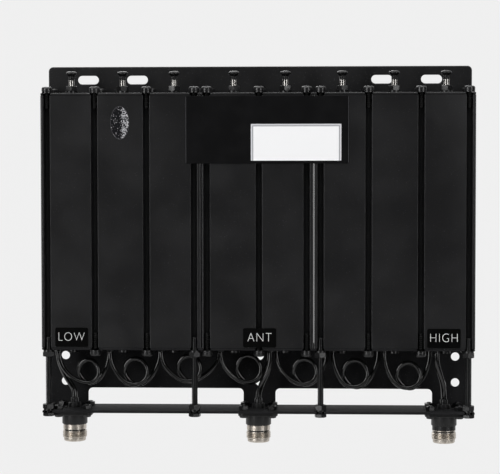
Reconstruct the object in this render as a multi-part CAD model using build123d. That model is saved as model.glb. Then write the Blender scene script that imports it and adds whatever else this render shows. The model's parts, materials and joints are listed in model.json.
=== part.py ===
from build123d import *
import math
import os

# Eight-cavity notch duplexer. Sizes are in millimetres.
# +X is to the viewer's right, the front faces -Y and +Z is up.
# The origin is the centre of the upper mounting slots, on the plane of the two mounting faces.

# Extrusions with their cavities and their open screw channels.
body_height = 161.0
body_depth = 32.0
wall = 2.2
cell_width = 31.0
cells_per_extrusion = 3
cells_sawn_off = 1
saw_margin = 3.2
seam_gap = 1.0
channel_width = 3.8
channel_axis_depth = 3.0
channel_lip = 1.7
channel_end_lip = 2.0
channel_mouth_chamfer = 0.25
outer_edge_chamfer = 0.4

# Bent sheet parts.
sheet = 1.6
rear_gap = 4.0
bend_inner_radius = 1.0
sheet_corner_radius = 3.0
flange_rise = 18.2
slot_length = 13.6
slot_height = 5.5
slot_insets = (26.15, 58.4)
slot_drop = 8.55
shelf_drop = 40.5
window_top_drop = 28.55
middle_leg_half_width = 10.5
outer_leg_width = 25.15
leg_hole_diameter = 5.5
leg_hole_inset = 10.15
leg_hole_first_drop = 7.1
leg_hole_spacing = 17.0
notch_clearance = 0.3

# Pan head screws with a captive spring washer, cutting their thread in the channels.
screw_diameter = 4.0
screw_core_diameter = 3.7
screw_length = 10.0
pan_head_diameter = 7.0
pan_head_height = 2.9
pan_head_edge = 2.1
pan_head_top_diameter = 5.6
captive_washer_diameter = 6.8
captive_washer_thickness = 1.1
recess_width = 0.9
recess_span = 3.4
recess_depth = 1.2

# Tuning screws, lock nuts and threaded bushes.
running_clearance = 0.05
fit_clearance = 0.02
bush_barrel_diameter = 6.0
bush_flange_diameter = 7.8
bush_flange_thickness = 1.6
bush_reach = 4.0
nut_flats = 7.0
nut_height = 3.2
nut_chamfer_diameter = 6.8
tuning_neck = 6.4
tuning_cone_height = 1.5
tuning_head_diameter = 7.0
tuning_head_rim = 0.3
tuning_dome = ((2.9, 0.7), (1.6, 1.3), (0.0, 1.5))
tuning_length = 41.0
tuning_tip_chamfer = 0.5

# Stand-off rods with their nuts and washers.
rod_diameter = 4.0
rod_channel_reach = 6.5
rod_washer_diameter = 6.8
cover_washer_thickness = 1.1
shelf_washer_thickness = 0.9
thin_nut_height = 2.2

# Resonators and what couples to them.
resonator_diameter = 9.0
resonator_top_gap = 13.0
resonator_bore_diameter = 6.0
resonator_bore_depth = 25.0
resonator_screw_length = 10.0
resonator_screw_head_diameter = 6.8
resonator_screw_head_height = 2.8
resonator_thread_depth = 12.0
loop_strap_width = 3.0
loop_strap_thickness = 1.0
loop_height = 30.0
loop_wall_gap = 1.4
loop_pad_thickness = 0.8
loop_pad_overhang = 1.5

# Cable ports in the bottom cover, as offsets to the right of a cavity's axis and behind it.
arriving_port_offset = -10.0
leaving_port_offset_left = -8.5
leaving_port_offset_right = -6.0
antenna_port_offset = -9.65
arriving_port_back = 3.0
leaving_port_back = -3.0
junction_port_back = 0.5
ferrule_diameter = 4.2
lead_ferrule_diameter = 5.0
ferrule_collar = 0.4
ferrule_collar_thickness = 0.6
ferrule_below = 2.0
ferrule_pin_diameter = 1.4
ferrule_pin_rise = 1.5

# Coaxial cables.
jumper_diameter = 2.8
lead_diameter = 3.6
straight_exit = 6.0
# One turn of a jumper: offsets from the turn's centre in turn radii, and the share of the
# way back from the first pass to the second pass.
jumper_turn = (
    (-0.80, -1.22, 0.0),
    (0.25, -1.30, 0.0),
    (1.02, -0.80, 0.05),
    (1.20, 0.10, 0.15),
    (0.72, 0.98, 0.30),
    (-0.22, 1.20, 0.45),
    (-0.98, 0.62, 0.60),
    (-1.06, -0.25, 0.75),
    (-0.62, -1.02, 0.88),
    (0.12, -1.50, 1.0),
    (0.95, -1.15, 1.0),
)
jumper_shoulder_share = 0.74
jumper_shoulder_drop = 0.35
first_pass_back = -3.5
second_pass_back = 1.2
junction_first_pass_back = 0.0
junction_second_pass_back = 4.6
# Each jumper's coil, as bent by hand: its centre's offset from the middle between its ports,
# its centre's drop below the bottom cover, and its radius.
jumper_coil_bends = (
    (2.8, 14.7, 6.1),
    (0.3, 14.6, 6.9),
    (-0.85, 12.5, 6.7),
    (1.6, 13.0, 7.1),
    (1.95, 14.2, 6.7),
    (-0.45, 15.3, 7.1),
    (0.65, 16.4, 6.7),
)
# Free points of each lead: right of its port, below the bottom cover and behind the cavities' axes.
low_lead_bends = (
    (4.55, 19.1, 3.0),
    (9.45, 25.9, 2.6),
)
antenna_lead_bends = (
    (-2.0, 15.4, -2.6),
    (-5.4, 21.9, -1.0),
)
high_lead_bends = (
    (2.45, 16.3, -1.7),
    (4.65, 23.1, 0.3),
)
lead_last_run = 3.6

# Connectors of N type with a square flange.
connector_inset = 18.45
connector_flange = 25.4
connector_flange_thickness = 2.4
connector_flange_corner = 3.5
connector_screw_spacing = 18.3
barrel_diameter = 8.0
barrel_rise = 3.0
spigot_diameter = 12.4
shelf_hole_diameter = 12.7
collar_diameter = 16.4
collar_length = 6.8
neck_diameter = 14.2
neck_length = 3.4
relief_diameter = 13.4
relief_length = 0.8
thread_diameter = 15.875
thread_length = 4.6
lead_in_length = 2.3
lead_in_chamfer = 0.5
mouth_diameter = 8.6
mouth_chamfer = 0.9
mouth_depth = 9.4
insulator_length = 10.0
insulator_neck_diameter = 5.2
insulator_neck_recess = 1.0
contact_diameter = 3.04
contact_recess = 1.0
contact_bore_diameter = 1.6
contact_bore_depth = 5.0
contact_tail = 1.0
sleeve_diameter = 5.0
sleeve_height = 3.0
flange_screw_diameter = 3.0
flange_screw_hole_diameter = 3.2
flange_screw_head_diameter = 5.5
flange_screw_head_height = 1.4
flange_nut_flats = 5.5
flange_nut_height = 2.4
flange_screw_end = 0.6

# Nameplate, port labels and foil sticker on the front.
plate_thickness = 0.5
plate_corner_radius = 1.0
nameplate_x = (-45.4, 58.1)
nameplate_drops = (43.4, 0.6)
label_width = 21.0
label_height = 12.3
label_rise = 6.7
label_offsets = (0.85, 1.5, -1.3)
foil_thickness = 0.2
foil_width = 12.0
foil_height = 21.1
foil_offset = -0.15
foil_drop = 17.45

# Derived positions.
over = 1.0
tolerance = 0.01
cell_pitch = cell_width + wall
full_width = cells_per_extrusion * cell_pitch + wall
saw_x = wall / 2 + cells_sawn_off * cell_pitch - saw_margin
middle_width = full_width - saw_x
total_width = 2 * full_width + middle_width + 2 * seam_gap
half_width = total_width / 2
overall_depth = body_depth + rear_gap
front_y = -overall_depth
flange_top = slot_drop
cover_top = flange_top - flange_rise
body_top = cover_top - sheet
body_bottom = body_top - body_height
cover_bottom = body_bottom - sheet
shelf_bottom = cover_bottom - shelf_drop
shelf_top = shelf_bottom + sheet
front_screw_y = front_y + channel_axis_depth
rear_screw_y = front_y + body_depth - channel_axis_depth
cavity_y = front_y + body_depth / 2
connector_y = front_y / 2
connector_x = half_width - connector_inset
left_block_x = -half_width
middle_block_x = left_block_x + full_width + seam_gap - saw_x
right_block_x = half_width - full_width
end_channel_inset = channel_width / 2 + channel_end_lip
web_insets = [wall / 2 + index * cell_pitch for index in range(1, cells_per_extrusion)]
channel_insets = [end_channel_inset, *web_insets, full_width - end_channel_inset]
cell_insets = [wall + cell_width / 2 + index * cell_pitch for index in range(cells_per_extrusion)]
outer_block_xs = (left_block_x, right_block_x)
middle_channels = [middle_block_x + inset for inset in channel_insets if inset > saw_x]
channel_xs = sorted([x + inset for x in outer_block_xs for inset in channel_insets] + middle_channels)
middle_cells = [middle_block_x + inset for inset in cell_insets if inset > saw_x]
cell_xs = sorted([x + inset for x in outer_block_xs for inset in cell_insets] + middle_cells)
rod_xs = [x + inset for x in outer_block_xs for inset in (channel_insets[0], channel_insets[-1])]
free_channel_xs = [x for x in channel_xs if min(abs(x - rod) for rod in rod_xs) > tolerance]
connector_xs = (-connector_x, 0.0, connector_x)
nut_bottom = cover_top + bush_flange_thickness
nut_top = nut_bottom + nut_height
resonator_top = body_top - resonator_top_gap
barrel_top = shelf_top + barrel_rise
sleeve_top = barrel_top + sleeve_height
flange_bottom = shelf_bottom - connector_flange_thickness
collar_bottom = flange_bottom - collar_length
neck_bottom = collar_bottom - neck_length
relief_bottom = neck_bottom - relief_length
thread_bottom = relief_bottom - thread_length
mouth_z = thread_bottom - lead_in_length
ferrule_bottom = cover_bottom - ferrule_below
pin_top = body_bottom + ferrule_pin_rise


def span(x, y, z):
    """A box between two values on each axis."""
    size = [high - low for low, high in (x, y, z)]
    centre = [(high + low) / 2 for low, high in (x, y, z)]
    return Pos(*centre) * Box(*size)


def edges_at(shape, axis, **place):
    """The straight edges along an axis whose centres have the given coordinates."""
    found = shape.edges().filter_by(axis)
    for name, value in place.items():
        found = found.filter_by(lambda edge: abs(getattr(edge.center(), name) - value) < tolerance)
    return found


def turned(points):
    """A solid turned about Z from radius and height pairs."""
    outline = Polyline(*[(radius, 0, height) for radius, height in points], close=True)
    return revolve(make_face(outline), Axis.Z)


def upright(radius, z_low, z_high):
    """A round bar along Z."""
    on_base = (Align.CENTER, Align.CENTER, Align.MIN)
    return Pos(0, 0, z_low) * Cylinder(radius, z_high - z_low, align=on_base)


def write(name, shapes):
    """Writes one node, made of one solid or of a group of separate ones."""
    solids = [solid for shape in shapes for solid in shape.solids()]
    shape = solids[0] if len(solids) == 1 else Compound(children=solids)
    export_step(shape, f"parts/{name}.step")


def screw_channel(x, face_y, axis_y):
    """The plan of one open channel: parallel sides and a round floor about the screw's axis."""
    mouth = Pos(x, (face_y + axis_y) / 2) * Rectangle(channel_width, abs(axis_y - face_y))
    return mouth + Pos(x, axis_y) * Circle(channel_width / 2)


def extrusion_profile():
    """The plan of a whole extrusion, from its left end and its front face."""
    corner = (Align.MIN, Align.MIN)
    inner_depth = body_depth - 2 * wall
    profile = Rectangle(full_width, body_depth, align=corner)
    for index in range(cells_per_extrusion):
        profile -= Pos(wall + index * cell_pitch, wall) * Rectangle(cell_width, inner_depth, align=corner)
    boss_width = channel_width + 2 * channel_lip
    boss_depth = channel_axis_depth + channel_width / 2 + channel_lip
    for x in channel_insets:
        profile += Pos(x, 0) * Rectangle(boss_width, boss_depth, align=(Align.CENTER, Align.MIN))
        profile += Pos(x, body_depth) * Rectangle(boss_width, boss_depth, align=(Align.CENTER, Align.MAX))
    for x in channel_insets:
        profile -= screw_channel(x, 0, channel_axis_depth)
        profile -= screw_channel(x, body_depth, body_depth - channel_axis_depth)
    return profile


def housing(x_origin, sawn_x):
    """One extrusion in place, kept from sawn_x on."""
    solid = Pos(x_origin, front_y, body_bottom) * extrude(extrusion_profile(), body_height)
    mouths = ShapeList()
    for inset in channel_insets:
        for side in (-1, 1):
            for face_y in (front_y, front_y + body_depth):
                x = x_origin + inset + side * channel_width / 2
                mouths += edges_at(solid, Axis.Z, X=x, Y=face_y)
    solid = chamfer(mouths, channel_mouth_chamfer)
    for x in (x_origin, x_origin + full_width):
        solid = chamfer(edges_at(solid, Axis.Z, X=x), outer_edge_chamfer)
    if sawn_x > 0:
        kept_x = (x_origin + sawn_x, x_origin + full_width + over)
        solid &= span(kept_x, (front_y - over, 0), (body_bottom - over, body_top + over))
    return solid


def cover_cuts(z_range):
    """Notches for the front screws and rods, and holes for the rear screws, through a flat leg."""
    width = screw_diameter + 2 * notch_clearance
    cuts = []
    for x in channel_xs:
        cuts.append(span((x - width / 2, x + width / 2), (front_y - over, front_screw_y), z_range))
        cuts.append(Pos(x, front_screw_y) * upright(width / 2, *z_range))
        cuts.append(Pos(x, rear_screw_y) * upright(width / 2, *z_range))
    return cuts


def make_top_cover():
    """The flat leg that closes the cavities, and the upright mounting flange with its slots."""
    sides = (-half_width, half_width)
    past = (-half_width - over, half_width + over)
    cover = span(sides, (front_y, 0), (body_top, flange_top))
    cover = fillet(edges_at(cover, Axis.X, Y=0, Z=body_top), bend_inner_radius + sheet)
    hollow = span(past, (front_y - over, -sheet), (cover_top, flange_top + over))
    hollow = fillet(edges_at(hollow, Axis.X, Y=-sheet, Z=cover_top), bend_inner_radius)
    cover -= hollow
    cover = fillet(edges_at(cover, Axis.Y, Z=flange_top), sheet_corner_radius)
    slot = extrude(Plane.XZ * SlotOverall(slot_length, slot_height), over + sheet, both=True)
    for inset in slot_insets:
        for side in (-1, 1):
            cover -= Pos(side * (half_width - inset), 0, 0) * slot
    z_range = (body_top - over, cover_top + over)
    for cut in cover_cuts(z_range):
        cover -= cut
    for x in cell_xs:
        cover -= Pos(x, cavity_y) * upright(bush_barrel_diameter / 2 + fit_clearance, *z_range)
    return cover


def make_bottom_bracket():
    """One sheet bent twice: cover leg, back web with windows and legs, and connector shelf."""
    sides = (-half_width, half_width)
    past = (-half_width - over, half_width + over)
    outer_radius = bend_inner_radius + sheet
    bracket = span(sides, (front_y, 0), (shelf_bottom, body_bottom))
    hollow = span(past, (front_y - over, -sheet), (shelf_top, cover_bottom))
    for outer_z, inner_z in ((body_bottom, cover_bottom), (shelf_bottom, shelf_top)):
        bracket = fillet(edges_at(bracket, Axis.X, Y=0, Z=outer_z), outer_radius)
        hollow = fillet(edges_at(hollow, Axis.X, Y=-sheet, Z=inner_z), bend_inner_radius)
    bracket -= hollow
    window_top = cover_bottom - window_top_drop
    window_x = (middle_leg_half_width, half_width - outer_leg_width)
    window = span(window_x, (-outer_radius, over), (shelf_bottom - over, window_top))
    window = fillet(edges_at(window, Axis.Y, Z=window_top), sheet_corner_radius)
    bracket -= window
    bracket -= mirror(window, Plane.YZ)
    hole = Rot(X=90) * Cylinder(leg_hole_diameter / 2, 2 * (sheet + over))
    leg_hole_x = half_width - leg_hole_inset
    for x in (-leg_hole_x, 0, leg_hole_x):
        for row in range(2):
            z = cover_bottom - leg_hole_first_drop - row * leg_hole_spacing
            bracket -= Pos(x, 0, z) * hole
    cover_range = (cover_bottom - over, body_bottom + over)
    for cut in cover_cuts(cover_range):
        bracket -= cut
    screw_hole = screw_diameter / 2 + notch_clearance
    for x in cell_xs:
        bracket -= Pos(x, cavity_y) * upright(screw_hole, *cover_range)
    for port in ports:
        bracket -= Pos(port["x"], port["y"]) * upright(port["radius"] + fit_clearance, *cover_range)
    shelf_range = (shelf_bottom - over, shelf_top + over)
    notch_width = rod_diameter + 2 * notch_clearance
    for x in rod_xs:
        notch_x = (x - notch_width / 2, x + notch_width / 2)
        bracket -= span(notch_x, (front_y - over, front_screw_y), shelf_range)
        bracket -= Pos(x, front_screw_y) * upright(notch_width / 2, *shelf_range)
    for x in connector_xs:
        bracket -= Pos(x, connector_y) * upright(shelf_hole_diameter / 2, *shelf_range)
        for spot in flange_spots(x):
            bracket -= spot * upright(flange_screw_hole_diameter / 2, *shelf_range)
    return bracket


def flange_spots(x):
    """The places of a connector's four flange screws."""
    half = connector_screw_spacing / 2
    return [Pos(x + side * half, connector_y + row * half) for side in (-1, 1) for row in (-1, 1)]


def cross_recess(z_top):
    """The cutter of a cross recess that goes down from z_top."""
    z_range = (z_top - recess_depth, z_top + over)
    bar = (-recess_span / 2, recess_span / 2)
    width = (-recess_width / 2, recess_width / 2)
    return span(bar, width, z_range) + span(width, bar, z_range)


def channel_screw():
    """A pan head screw with its washer, seated at Z = 0 with its shank down."""
    core = screw_core_diameter / 2
    washer = captive_washer_diameter / 2
    head = pan_head_diameter / 2
    head_top = captive_washer_thickness + pan_head_height
    points = (
        (0, -screw_length),
        (core, -screw_length),
        (core, 0),
        (washer, 0),
        (washer, captive_washer_thickness),
        (head, captive_washer_thickness),
        (head, captive_washer_thickness + pan_head_edge),
        (pan_head_top_diameter / 2, head_top),
        (0, head_top),
    )
    return turned(points) - cross_recess(head_top)


def plain_screw(diameter, length, head_diameter, head_height):
    """A low pan head screw seated at Z = 0 with its shank up and its head below."""
    shank = upright(diameter / 2, 0, length)
    return shank + upright(head_diameter / 2, -head_height, 0)


def hexagon(flats, height):
    """A hexagonal prism on Z = 0 with a corner towards the front."""
    return extrude(RegularPolygon(flats / 2, 6, major_radius=False, rotation=30), height)


def nut(flats, height, thread_diameter_in):
    """A plain hexagon nut on Z = 0."""
    bore = upright(thread_diameter_in / 2 + running_clearance, -over, height + over)
    return hexagon(flats, height) - bore


def lock_nut():
    """A hexagon nut whose upper corners are chamfered."""
    half_side_angle = math.pi / 6
    corner = nut_flats / 2 / math.cos(half_side_angle)
    chamfer_radius = nut_chamfer_diameter / 2
    chamfer_drop = (corner - chamfer_radius) * math.tan(half_side_angle)
    points = (
        (0, 0),
        (corner, 0),
        (corner, nut_height - chamfer_drop),
        (chamfer_radius, nut_height),
        (0, nut_height),
    )
    return nut(nut_flats, nut_height, screw_diameter) & turned(points)


def washer(outer_diameter, thickness, inner_diameter):
    """A flat ring on Z = 0."""
    bore = upright(inner_diameter / 2 + running_clearance, -over, thickness + over)
    return upright(outer_diameter / 2, 0, thickness) - bore


def tuning_bush():
    """The threaded bush in the top cover, in its own place along Z."""
    bore = screw_diameter / 2 + running_clearance
    barrel = bush_barrel_diameter / 2
    flange = bush_flange_diameter / 2
    points = (
        (bore, body_top - bush_reach),
        (barrel, body_top - bush_reach),
        (barrel, cover_top),
        (flange, cover_top),
        (flange, nut_bottom),
        (bore, nut_bottom),
    )
    return turned(points)


def tuning_screw():
    """A raised countersunk screw, in its own place along Z."""
    radius = screw_diameter / 2
    head = tuning_head_diameter / 2
    cone_bottom = nut_top + tuning_neck
    cone_top = cone_bottom + tuning_cone_height
    rim_top = cone_top + tuning_head_rim
    tip = cone_bottom - tuning_length
    points = [
        (0, tip),
        (radius - tuning_tip_chamfer, tip),
        (radius, tip + tuning_tip_chamfer),
        (radius, cone_bottom),
        (head, cone_top),
        (head, rim_top),
    ]
    points += [(dome_radius, rim_top + rise) for dome_radius, rise in tuning_dome]
    top = rim_top + tuning_dome[-1][1]
    return turned(points) - cross_recess(top)


def resonator():
    """A quarter-wave rod, tapped below and hollow above, in its own place along Z."""
    rod = upright(resonator_diameter / 2, body_bottom, resonator_top)
    thread = screw_diameter / 2 + running_clearance
    rod -= upright(thread, body_bottom - over, body_bottom + resonator_thread_depth)
    bore_bottom = resonator_top - resonator_bore_depth
    rod -= upright(resonator_bore_diameter / 2, bore_bottom, resonator_top + over)
    return rod


def standoff_rod():
    """A threaded rod whose upper end is turned to core size for the channel."""
    core_top = body_bottom + rod_channel_reach
    rod = upright(rod_diameter / 2, shelf_bottom - thin_nut_height, cover_bottom)
    return rod + upright(screw_core_diameter / 2, cover_bottom, core_top)


def ferrule(radius):
    """A solder ferrule with its collar below the cover and the cable's inner conductor above it."""
    collar = radius + ferrule_collar
    pin = ferrule_pin_diameter / 2
    points = (
        (0, ferrule_bottom),
        (radius, ferrule_bottom),
        (radius, cover_bottom - ferrule_collar_thickness),
        (collar, cover_bottom - ferrule_collar_thickness),
        (collar, cover_bottom),
        (radius, cover_bottom),
        (radius, body_bottom),
        (pin, body_bottom),
        (pin, pin_top),
        (0, pin_top),
    )
    return turned(points)


def coupling_loop(index):
    """A strap loop on one cavity's inner conductors, grounded on the bottom cover."""
    mine = [port for port in ports if port["cell"] == index]
    strap_x = cell_xs[index] + arriving_port_offset
    return_x = cell_xs[index] - cell_width / 2 + loop_wall_gap + loop_strap_thickness / 2
    pad_top = pin_top + loop_pad_thickness
    loop_top = body_bottom + loop_height
    half_thick = loop_strap_thickness / 2
    pad_x = (strap_x - loop_pad_overhang, max(port["x"] for port in mine) + loop_strap_thickness / 2)
    pad_y = (min(port["y"] for port in mine), max(port["y"] for port in mine) + loop_pad_overhang)
    strap_y = (cavity_y - loop_strap_width / 2, cavity_y + loop_strap_width / 2)
    loop = span(pad_x, pad_y, (pin_top, pad_top))
    loop += span((strap_x - half_thick, strap_x + half_thick), strap_y, (pin_top, loop_top))
    bridge_x = (return_x - half_thick, strap_x + half_thick)
    loop += span(bridge_x, strap_y, (loop_top - loop_strap_thickness, loop_top))
    loop += span((return_x - half_thick, return_x + half_thick), strap_y, (body_bottom, loop_top))
    return loop


def connector_body():
    """The plated body: barrel, flange, collar, neck, coupling thread and mouth, about its axis."""
    points = (
        (0, mouth_z),
        (neck_diameter / 2 - lead_in_chamfer, mouth_z),
        (neck_diameter / 2, mouth_z + lead_in_chamfer),
        (neck_diameter / 2, thread_bottom - (thread_diameter - neck_diameter) / 2),
        (thread_diameter / 2, thread_bottom),
        (thread_diameter / 2, relief_bottom),
        (relief_diameter / 2, relief_bottom),
        (relief_diameter / 2, neck_bottom),
        (neck_diameter / 2, neck_bottom),
        (neck_diameter / 2, collar_bottom),
        (collar_diameter / 2 - lead_in_chamfer, collar_bottom),
        (collar_diameter / 2, collar_bottom + lead_in_chamfer),
        (collar_diameter / 2, shelf_bottom),
        (spigot_diameter / 2, shelf_bottom),
        (spigot_diameter / 2, shelf_top),
        (barrel_diameter / 2, shelf_top),
        (barrel_diameter / 2, barrel_top),
        (0, barrel_top),
    )
    half = connector_flange / 2
    flange = span((-half, half), (-half, half), (flange_bottom, shelf_bottom))
    flange = fillet(flange.edges().filter_by(Axis.Z), connector_flange_corner)
    body = turned(points) + flange
    mouth = mouth_diameter / 2
    insulator_top = mouth_z + mouth_depth + insulator_length
    bore = (
        (0, mouth_z - over),
        (mouth + mouth_chamfer + over, mouth_z - over),
        (mouth, mouth_z + mouth_chamfer),
        (mouth, insulator_top),
        (insulator_neck_diameter / 2, insulator_top),
        (insulator_neck_diameter / 2, barrel_top + over),
        (0, barrel_top + over),
    )
    body -= turned(bore)
    half_spacing = connector_screw_spacing / 2
    for side in (-1, 1):
        for row in (-1, 1):
            hole = upright(flange_screw_hole_diameter / 2, flange_bottom - over, shelf_bottom + over)
            body -= Pos(side * half_spacing, row * half_spacing) * hole
    return body


def insulator():
    """The stepped insulator inside a connector, about its axis."""
    outer = mouth_diameter / 2 - fit_clearance
    neck = insulator_neck_diameter / 2 - fit_clearance
    bore = contact_diameter / 2 + fit_clearance
    face_z = mouth_z + mouth_depth
    shoulder_z = face_z + insulator_length
    points = (
        (bore, face_z),
        (outer, face_z),
        (outer, shoulder_z),
        (neck, shoulder_z),
        (neck, barrel_top - insulator_neck_recess),
        (bore, barrel_top - insulator_neck_recess),
    )
    return turned(points)


def centre_contact():
    """The socket contact, hollow at its mating end, about its axis."""
    contact_low = mouth_z + contact_recess
    contact = upright(contact_diameter / 2, contact_low, barrel_top)
    bore_top = contact_low + contact_bore_depth
    return contact - upright(contact_bore_diameter / 2, contact_low - over, bore_top)


def rounded_plate(x_range, z_range):
    """A thin plate on the front faces with small round corners."""
    plate = span(x_range, (front_y - plate_thickness, front_y), z_range)
    return fillet(plate.edges().filter_by(Axis.Y), plate_corner_radius)


def cable(name, points, diameter):
    """A round cable along straight runs joined by arcs, and a line on its bends and length."""
    route = [Vector(x, cavity_y + back, z) for x, z, back in points]
    radii = []
    for before, corner, after in zip(route, route[1:], route[2:]):
        run_in = corner - before
        run_out = after - corner
        turn = math.radians(run_in.get_angle(run_out))
        shorter = min(run_in.length, run_out.length)
        radii.append(0.45 * shorter / math.tan(turn / 2))
    path = FilletPolyline(*route, radius=radii)
    start = Plane(origin=path @ 0, z_dir=path % 0)
    tube = sweep(start * Circle(diameter / 2), path=path)
    section = math.pi * (diameter / 2) ** 2
    ratio = tube.volume / (section * path.length)
    print(name, "length", round(path.length, 1), "volume ratio", round(ratio, 4))
    print(name, "radii", [round(radius, 1) for radius in radii])
    write(name, [tube])


def jumper_route(start, end, bend, passes):
    """The points of a jumper: down from one port, once round its turn, and up to the next port."""
    offset, drop, radius = bend
    centre_x = (start["x"] + end["x"]) / 2 + offset
    centre_z = cover_bottom - drop
    first_back, second_back = passes
    exit_z = ferrule_bottom - straight_exit
    shoulder_z = centre_z - jumper_shoulder_drop * radius
    first_x = centre_x + jumper_shoulder_share * (start["x"] - centre_x)
    last_x = centre_x + jumper_shoulder_share * (end["x"] - centre_x)
    points = [(start["x"], ferrule_bottom, start["back"]), (start["x"], exit_z, start["back"])]
    points.append((first_x, shoulder_z, (start["back"] + first_back) / 2))
    for across, up, share in jumper_turn:
        back = first_back + share * (second_back - first_back)
        points.append((centre_x + across * radius, centre_z + up * radius, back))
    points.append((last_x, shoulder_z, (end["back"] + second_back) / 2))
    points.append((end["x"], exit_z, end["back"]))
    points.append((end["x"], ferrule_bottom, end["back"]))
    return points


def lead_route(start, bends, end_x):
    """The points of a lead: down from its port, through its bends, and down to its sleeve."""
    connector_back = connector_y - cavity_y
    points = [(start["x"], ferrule_bottom, start["back"])]
    points.append((start["x"], ferrule_bottom - straight_exit, start["back"]))
    points.extend((start["x"] + right, cover_bottom - drop, back) for right, drop, back in bends)
    points.append((end_x, sleeve_top + lead_last_run, connector_back))
    points.append((end_x, sleeve_top, connector_back))
    return points


def port(cell, offset, back, diameter):
    """A cable port in the bottom cover of one cavity."""
    x = cell_xs[cell] + offset
    return {"cell": cell, "x": x, "y": cavity_y + back, "back": back, "radius": diameter / 2}


cell_count = len(cell_xs)
antenna_cell = cell_count // 2
arriving = []
for cell in range(1, cell_count):
    arriving.append(port(cell, arriving_port_offset, arriving_port_back, ferrule_diameter))
leaving = []
for cell in range(cell_count - 1):
    offset = leaving_port_offset_left if cell < antenna_cell else leaving_port_offset_right
    back = junction_port_back if cell == antenna_cell else leaving_port_back
    leaving.append(port(cell, offset, back, ferrule_diameter))
low_port = port(0, arriving_port_offset, arriving_port_back, lead_ferrule_diameter)
antenna_port = port(antenna_cell, antenna_port_offset, leaving_port_back, lead_ferrule_diameter)
high_port = port(cell_count - 1, leaving_port_offset_right, leaving_port_back, lead_ferrule_diameter)
ports = [*arriving, *leaving, low_port, antenna_port, high_port]

os.makedirs("parts", exist_ok=True)

write("housing_left", [housing(left_block_x, 0)])
write("housing_middle", [housing(middle_block_x, saw_x)])
write("housing_right", [housing(right_block_x, 0)])
write("top_cover", [make_top_cover()])
write("bottom_bracket", [make_bottom_bracket()])

screw = channel_screw()
rear_and_front = (front_screw_y, rear_screw_y)
upper_spots = [Pos(x, y, cover_top) for x in channel_xs for y in rear_and_front]
write("cover_screws_top", [spot * screw for spot in upper_spots])
lower_spots = [Pos(x, front_screw_y, cover_bottom) for x in free_channel_xs]
lower_spots += [Pos(x, rear_screw_y, cover_bottom) for x in channel_xs]
write("cover_screws_bottom", [spot * Rot(X=180) * screw for spot in lower_spots])

rod_spots = [Pos(x, front_screw_y) for x in rod_xs]
rod = standoff_rod()
write("standoff_rods", [spot * rod for spot in rod_spots])
cover_washer = washer(rod_washer_diameter, cover_washer_thickness, rod_diameter)
cover_washer_z = cover_bottom - cover_washer_thickness
write("rod_cover_washers", [spot * Pos(0, 0, cover_washer_z) * cover_washer for spot in rod_spots])
rod_nut = nut(nut_flats, nut_height, rod_diameter)
cover_nut_z = cover_washer_z - nut_height
write("rod_cover_nuts", [spot * Pos(0, 0, cover_nut_z) * rod_nut for spot in rod_spots])
shelf_washer = washer(rod_washer_diameter, shelf_washer_thickness, rod_diameter)
write("shelf_washers", [spot * Pos(0, 0, shelf_top) * shelf_washer for spot in rod_spots])
shelf_nut_z = shelf_top + shelf_washer_thickness
write("shelf_nuts", [spot * Pos(0, 0, shelf_nut_z) * rod_nut for spot in rod_spots])
thin_nut = nut(nut_flats, thin_nut_height, rod_diameter)
thin_nut_z = shelf_bottom - thin_nut_height
write("shelf_thin_nuts", [spot * Pos(0, 0, thin_nut_z) * thin_nut for spot in rod_spots])

cavity_spots = [Pos(x, cavity_y) for x in cell_xs]
bush = tuning_bush()
write("tuning_bushes", [spot * bush for spot in cavity_spots])
locking = lock_nut()
write("lock_nuts", [spot * Pos(0, 0, nut_bottom) * locking for spot in cavity_spots])
tuner = tuning_screw()
for number, spot in enumerate(cavity_spots, start=1):
    write(f"tuning_screw_{number}", [spot * tuner])
rod_of_cavity = resonator()
write("resonators", [spot * rod_of_cavity for spot in cavity_spots])
base_head = (resonator_screw_head_diameter, resonator_screw_head_height)
base_screw = plain_screw(screw_diameter, resonator_screw_length, *base_head)
write("resonator_screws", [spot * Pos(0, 0, cover_bottom) * base_screw for spot in cavity_spots])
write("coupling_loops", [coupling_loop(index) for index in range(cell_count)])
write("cable_ferrules", [Pos(entry["x"], entry["y"]) * ferrule(entry["radius"]) for entry in ports])

body = connector_body()
dielectric = insulator()
contact = centre_contact()
connector_names = ("connector_low", "connector_antenna", "connector_high")
connector_spots = [Pos(x, connector_y) for x in connector_xs]
for name, spot in zip(connector_names, connector_spots):
    write(name, [spot * body])
write("connector_insulators", [spot * dielectric for spot in connector_spots])
write("connector_contacts", [spot * contact for spot in connector_spots])
sleeve = upright(sleeve_diameter / 2, barrel_top, sleeve_top)
write("lead_sleeves", [spot * sleeve for spot in connector_spots])
stack = connector_flange_thickness + sheet + flange_nut_height + flange_screw_end
flange_head = (flange_screw_head_diameter, flange_screw_head_height)
flange_screw = plain_screw(flange_screw_diameter, stack, *flange_head)
all_flange_spots = [spot for x in connector_xs for spot in flange_spots(x)]
write("flange_screws", [spot * Pos(0, 0, flange_bottom) * flange_screw for spot in all_flange_spots])
flange_nut = nut(flange_nut_flats, flange_nut_height, flange_screw_diameter)
write("flange_nuts", [spot * Pos(0, 0, shelf_top) * flange_nut for spot in all_flange_spots])

for index, bend in enumerate(jumper_coil_bends):
    at_junction = index + 1 == antenna_cell
    passes = (first_pass_back, second_pass_back)
    if at_junction:
        passes = (junction_first_pass_back, junction_second_pass_back)
    route_points = jumper_route(leaving[index], arriving[index], bend, passes)
    cable(f"jumper_{index + 1}", route_points, jumper_diameter)
lead_ports = (low_port, antenna_port, high_port)
lead_bends = (low_lead_bends, antenna_lead_bends, high_lead_bends)
lead_names = ("lead_low", "lead_antenna", "lead_high")
for name, start, bends, end_x in zip(lead_names, lead_ports, lead_bends, connector_xs):
    cable(name, lead_route(start, bends, end_x), lead_diameter)

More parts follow.
